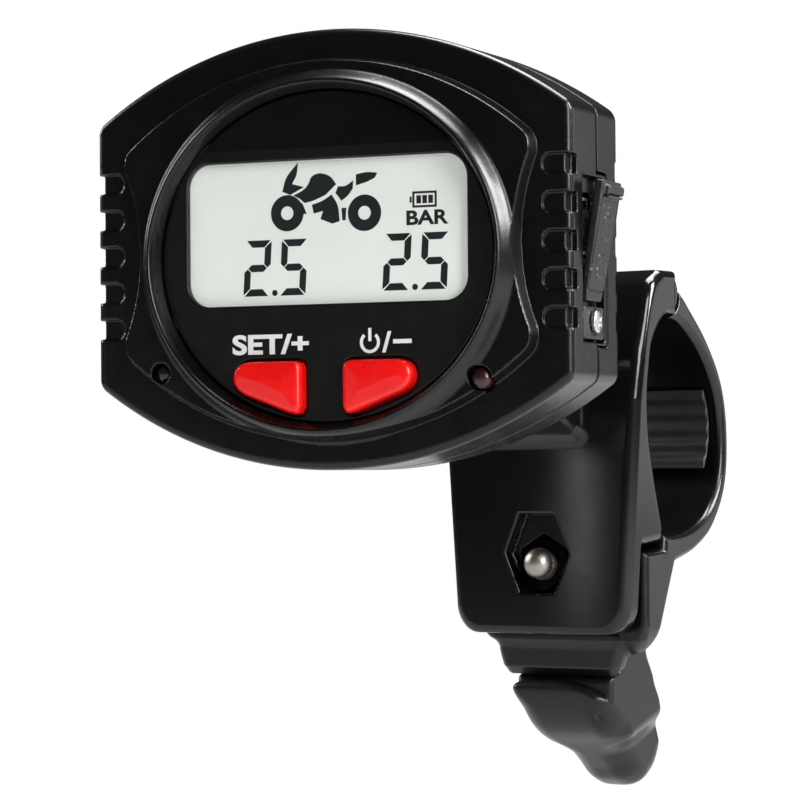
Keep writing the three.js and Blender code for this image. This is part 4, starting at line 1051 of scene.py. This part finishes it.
def clamp_piece(name, shape, node, cell, body, material, margin=0.2):
    """Sculpts a piece in the clamp's frame, inside its CAD node's box."""
    low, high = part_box(node)
    low, high = [v / MM - margin for v in low], [v / MM + margin for v in high]
    return sculpt(name, shape, low, high, cell, body, material, [node], ROW_FRAME)


clamp_piece("jaw_front", front_jaw, "clamp_front_jaw", 0.3, "clamp", CLAMP)
clamp_piece("jaw_rear", rear_jaw, "clamp_rear_jaw", 0.3, "rear_jaw", JAW)
clamp_piece("bar_pad_front", jaw_pad(-1), "front_jaw_pad", 0.16, "clamp", RUBBER)
clamp_piece("bar_pad_rear", jaw_pad(1), "rear_jaw_pad", 0.16, "rear_jaw", RUBBER)
clamp_piece("clamp_bolt", tension_bolt, "tension_bolt", 0.12, "clamp", BOLT_STEEL)
clamp_piece("clamp_nut", tension_nut, "tension_nut", 0.12, "clamp", NUT_STEEL)
clamp_piece("lever_saddle", cam_saddle, "cam_saddle", 0.16, "rear_jaw", WHITE)
clamp_piece("quick_lever", cam_lever, "cam_lever", 0.22, "lever", LEVER)
clamp_piece("lever_pin", pin_rod(CAM_PIN, 1.5, -8.3, 8.3), "cam_pin", 0.14, "clamp", STEEL)
clamp_piece("hinge_pin", pin_rod(JAW_PIN, 1.45, -15.5, 14.5), "jaw_hinge_pin", 0.14, "clamp", STEEL)

# ---- display graphics and labels


INK_THICKNESS = 0.03


def face_frame(y, rise=0.0):
    """Places flat artwork on a plane of the head: its x to the right, its y up, facing the viewer."""
    turn = Matrix(((1, 0, 0), (0, 0, -1), (0, 1, 0))).to_4x4()
    return HEAD_FRAME @ Matrix.Translation((0, y * MM, rise * MM)) @ turn


def artwork(name, loops, y, material, rise=0.0):
    """Flat printed shapes from closed loops in millimetres; a loop inside another is a hole."""
    curve = bpy.data.curves.new(name, "CURVE")
    curve.dimensions = "2D"
    curve.fill_mode = "BOTH"
    curve.extrude = INK_THICKNESS * MM / 2
    for loop in loops:
        spline = curve.splines.new("POLY")
        spline.points.add(len(loop) - 1)
        for point, (u, v) in zip(spline.points, loop):
            point.co = (u * MM, v * MM, 0, 1)
        spline.use_cyclic_u = True
    mesh = meshed(name, curve)
    mesh.transform(face_frame(y, rise))
    return finished(name, mesh, "head", material)


def meshed(name, curve):
    """A curve or text as a mesh, at the origin."""
    maker = added(name, curve)
    bpy.context.view_layer.update()
    mesh = bpy.data.meshes.new_from_object(maker.evaluated_get(bpy.context.evaluated_depsgraph_get()))
    bpy.data.objects.remove(maker)
    mesh.name = name
    return mesh


def lettering(name, text, low, high, y, material, weight):
    """Generic words in Blender's own built-in typeface, fitted between two corners of the face."""
    curve = bpy.data.curves.new(name, "FONT")
    curve.body = text
    curve.size = 1.0
    curve.offset = weight
    curve.extrude = 0.01
    mesh = meshed(name, curve)
    points = np.array([v.co[:2] for v in mesh.vertices])
    least, most = points.min(0), points.max(0)
    scale = (np.array(high) - low) * MM / (most - least)
    fit = Matrix.Translation((low[0] * MM - least[0] * scale[0], low[1] * MM - least[1] * scale[1], 0))
    mesh.transform(fit @ Matrix.Diagonal((scale[0], scale[1], 1.5 * MM, 1)))
    mesh.transform(face_frame(y))
    return finished(name, mesh, "head", material)


def circle(cx, cz, r, steps=48):
    return [(cx + r * math.cos(2 * math.pi * k / steps), cz + r * math.sin(2 * math.pi * k / steps))
            for k in range(steps)]


SEGMENTS = {"2": "abged", "5": "afgcd"}
DIGIT_LEAN = 0.06


def digit(text, x, z):
    """Seven-segment strokes with mitred ends, leaning a little."""
    w, h, t, gap = 3.0, 6.75, 0.98, 0.09

    def across(v, inside):
        """A flat stroke at height v; inside is -1 at the top, 1 at the bottom and 0 in the middle."""
        if not inside:
            return [(gap, v), (t / 2 + gap, v + t / 2), (w - t / 2 - gap, v + t / 2), (w - gap, v),
                    (w - t / 2 - gap, v - t / 2), (t / 2 + gap, v - t / 2)]
        outer, inner = v - inside * t / 2, v + inside * t / 2
        return [(-t / 2 + gap * 2, outer), (w + t / 2 - gap * 2, outer),
                (w - t / 2 - gap, inner), (t / 2 + gap, inner)]

    def upright(u, outside, v0, v1):
        """A standing stroke; its long side is the outer one."""
        outer, inner = u + outside * t / 2, u - outside * t / 2
        foot, head = v0 + gap, v1 - gap
        foot_cut = 0.45 * t if v0 else -0.375 * t
        head_cut = 0.45 * t if v1 < h else -0.375 * t
        return [(outer, foot + foot_cut), (u, foot), (inner, foot + t / 2),
                (inner, head - t / 2), (u, head), (outer, head - head_cut)]

    shapes = {
        "a": across(h, -1), "g": across(h / 2, 0), "d": across(0, 1),
        "f": upright(0, -1, h / 2, h), "b": upright(w, 1, h / 2, h),
        "e": upright(0, -1, 0, h / 2), "c": upright(w, 1, 0, h / 2),
    }
    return [[(x + u + DIGIT_LEAN * v, z + v) for u, v in shapes[key]] for key in SEGMENTS[text]]


LCD_Y = -0.72
PRINT_Y = -2.02
PICTURE_RISE = 0.5
for label, left, base in (("front", -12.0, -5.75), ("rear", 9.15, -5.55)):
    artwork(f"reading_{label}", digit("2", left, base) + digit("5", left + 5.55, base)
            + [circle(left + 4.35, base - 0.1, 0.42, 20)], LCD_Y, LCD_INK)
for label, cx, cz in (("front", -5.67, 5.1), ("rear", 6.05, 4.7)):
    artwork(f"picture_wheel_{label}", [circle(cx, cz, 2.5), circle(cx, cz, 0.95)], LCD_Y, LCD_INK)
BIKE = {
    "screen": path([(-6.4, 7.6)], [(-6.4, 7.6), (-5.7, 9.6), (-4.0, 11.5)],
                   [(-4.0, 11.5), (-4.2, 9.9), (-4.9, 8.6)], [(-3.1, 8.1)], [(-5.2, 7.1)]),
    "tank": path([(-4.7, 7.0), (-3.2, 7.7), (-2.4, 8.5), (-1.9, 9.5), (-0.6, 9.9), (0.9, 9.4), (1.8, 8.3)],
                 [(0.2, 6.9), (-1.6, 6.2), (-3.0, 5.9)], [(-3.7, 6.5)]),
    "seat": path([(2.1, 8.0)], [(2.1, 8.0), (3.2, 8.0), (4.4, 8.7)],
                 [(4.3, 7.6), (3.6, 6.7), (2.6, 6.0)], [(1.7, 7.1)]),
    "tail": path([(4.8, 8.0)], [(4.8, 9.5)], [(4.8, 9.5), (6.4, 9.75), (8.0, 9.6)], [(7.6, 8.9), (6.4, 8.4)]),
    "engine": path([(-1.9, 5.6)], [(-1.9, 5.6), (-0.3, 6.1), (1.1, 6.9)],
                   [(1.1, 6.9), (2.0, 5.4), (2.3, 3.2)], [(1.2, 2.9)], [(-0.6, 3.6)], [(-0.2, 4.7)],
                   [(-1.6, 4.4)]),
    "fork": path([(-3.9, 6.2)], [(-3.3, 5.8)], [(-2.7, 4.4)], [(-3.2, 4.4)]),
    "arm": path([(2.6, 5.0)], [(3.3, 5.0)], [(3.2, 3.3)], [(2.7, 3.3)]),
}
for label, loop in BIKE.items():
    artwork(f"picture_{label}", [loop], LCD_Y, LCD_INK, PICTURE_RISE)
battery_case = path([(13.2, 5.1)], [(13.2, 7.3)], [(16.8, 7.3)], [(16.8, 5.1)])
battery_room = path([(13.5, 5.4)], [(13.5, 7.0)], [(16.5, 7.0)], [(16.5, 5.4)])
bars = [[(u, 5.65), (u + 0.68, 5.65), (u + 0.68, 6.75), (u, 6.75)] for u in (13.8, 14.68, 15.56)]
nub = [(12.8, 5.8), (13.1, 5.8), (13.1, 6.6), (12.8, 6.6)]
artwork("charge_mark", [battery_case, battery_room, nub] + bars, LCD_Y, LCD_INK)
lettering("unit_mark", "BAR", (12.3, 2.75), (18.5, 4.75), LCD_Y, LCD_INK, 0.03)
lettering("label_left", "SET/+", (-13.6, -14.4), (-1.9, -11.6), PRINT_Y, PRINT_WHITE, 0.035)


def arc(cx, cz, r, start, end, steps=36):
    """Points along an arc, in degrees anticlockwise from +x."""
    turns = np.radians(np.linspace(start, end, steps))
    return [(cx + r * math.cos(a), cz + r * math.sin(a)) for a in turns]


power = arc(7.3, -13.05, 1.5, 130, 410) + arc(7.3, -13.05, 1.06, 410, 130)
stem = [(7.07, -12.9), (7.53, -12.9), (7.53, -11.1), (7.07, -11.1)]
slash = [(9.1, -14.5), (9.62, -14.5), (10.5, -11.6), (9.98, -11.6)]
minus = [(10.75, -13.3), (13.5, -13.3), (13.5, -12.72), (10.75, -12.72)]
artwork("label_right", [power, stem, slash, minus], PRINT_Y, PRINT_WHITE)

# ---- finishes of the CAD pieces that stay

FINISH = {
    "case_black": CASE, "fascia_black": FASCIA, "window_clear": WINDOW, "lcd_grey": LCD,
    "holder_white": WHITE, "rubber_black": RUBBER, "button_red": BUTTON_RED, "led_red": LED_RED,
    "sensor_smoke": SMOKE, "board_green": BOARD, "buzzer_black": BLACK_PART, "cell_silver": CELL,
    "nickel": NICKEL, "steel": STEEL, "clamp_black": CLAMP, "lever_grey": LEVER,
}
for name, node in frame["nodes"].items():
    for holder in node.material_slots:
        holder.material = FINISH[slot_of[name]]

# ---- camera, floor and light

LENS = 145.7
EYE_MM = Vector((261.5, -442.9, -6.3))
EYE_YAW, EYE_TILT, EYE_ROLL = (math.radians(a) for a in (34.0, 1.26, 0.46))


def add_camera():
    data = bpy.data.cameras.new("camera")
    data.sensor_width = 36
    data.lens = LENS
    data.clip_start, data.clip_end = 0.01, 20
    eye = added("camera", data)
    turn = Matrix.Rotation(EYE_YAW, 4, "Z") @ Matrix.Rotation(math.pi / 2 + EYE_TILT, 4, "X")
    eye.matrix_world = Matrix.Translation(EYE_MM * MM) @ turn @ Matrix.Rotation(-EYE_ROLL, 4, "Z")
    bpy.context.scene.camera = eye


def area_light(name, place, target, size, power):
    data = bpy.data.lights.new(name, "AREA")
    data.shape = "RECTANGLE"
    data.size, data.size_y = size
    data.energy = power
    lamp = added(name, data)
    lamp.location = place
    lamp.rotation_euler = (Vector(target) - Vector(place)).to_track_quat("-Z", "Y").to_euler()


MIDDLE = (0.0, -0.06, 0.01)
PLATE = (0.008, -0.017, -0.01)
LIGHTS = (
    ("overhead", (0.05, 0.1, 0.75), MIDDLE, (0.5, 0.4), 12),
    ("rim", (0.6, 0.12, 0.4), MIDDLE, (0.2, 0.45), 10),
    ("front_right", (0.75, -0.4, 0.3), MIDDLE, (0.3, 0.5), 6.5),
    ("front_left", (-0.8, -0.2, 0.35), MIDDLE, (0.25, 0.4), 5),
    ("side_glow", (0.45, 0.7, 0.12), MIDDLE, (0.5, 0.4), 0.8),
    ("streak", (-0.264, -0.546, -0.012), PLATE, (0.012, 0.075), 0.022),
)


def white_to_camera(tree, plain, white, output):
    """The camera sees the white shader; light and reflections meet the plain one."""
    rays = tree.nodes.new("ShaderNodeLightPath")
    mixer = tree.nodes.new("ShaderNodeMixShader")
    tree.links.new(rays.outputs["Is Camera Ray"], mixer.inputs[0])
    tree.links.new(plain.outputs[0], mixer.inputs[1])
    tree.links.new(white.outputs[0], mixer.inputs[2])
    tree.links.new(mixer.outputs[0], tree.nodes[output].inputs["Surface"])


def add_surround():
    world = bpy.data.worlds.new("studio")
    world.use_nodes = True
    surround = world.node_tree.nodes["Background"]
    backdrop = world.node_tree.nodes.new("ShaderNodeBackground")
    for node, strength in ((surround, 0.05), (backdrop, 1.0)):
        node.inputs["Color"].default_value = (1, 1, 1, 1)
        node.inputs["Strength"].default_value = strength
    white_to_camera(world.node_tree, surround, backdrop, "World Output")
    bpy.context.scene.world = world
    bpy.context.scene.view_settings.view_transform = "Standard"


def add_floor():
    n = Nodes("floor_paper")
    n.set(Base_Color=n.ramp(n.noise(3, 2), 0.3, 0.7, (0.4, 0.4, 0.4), (0.44, 0.44, 0.44)), Roughness=0.9)
    white_to_camera(n.tree, n.shader, n.new("Emission"), "Material Output")
    mesh = bpy.data.meshes.new("floor")
    level = cad_box[0][2] - 0.03
    mesh.from_pydata([(-4, -4, level), (4, -4, level), (4, 4, level), (-4, 4, level)], [], [(0, 1, 2, 3)])
    mesh.materials.append(n.material)
    added("floor", mesh)


add_camera()
add_surround()
add_floor()
for light in LIGHTS:
    area_light(*light)
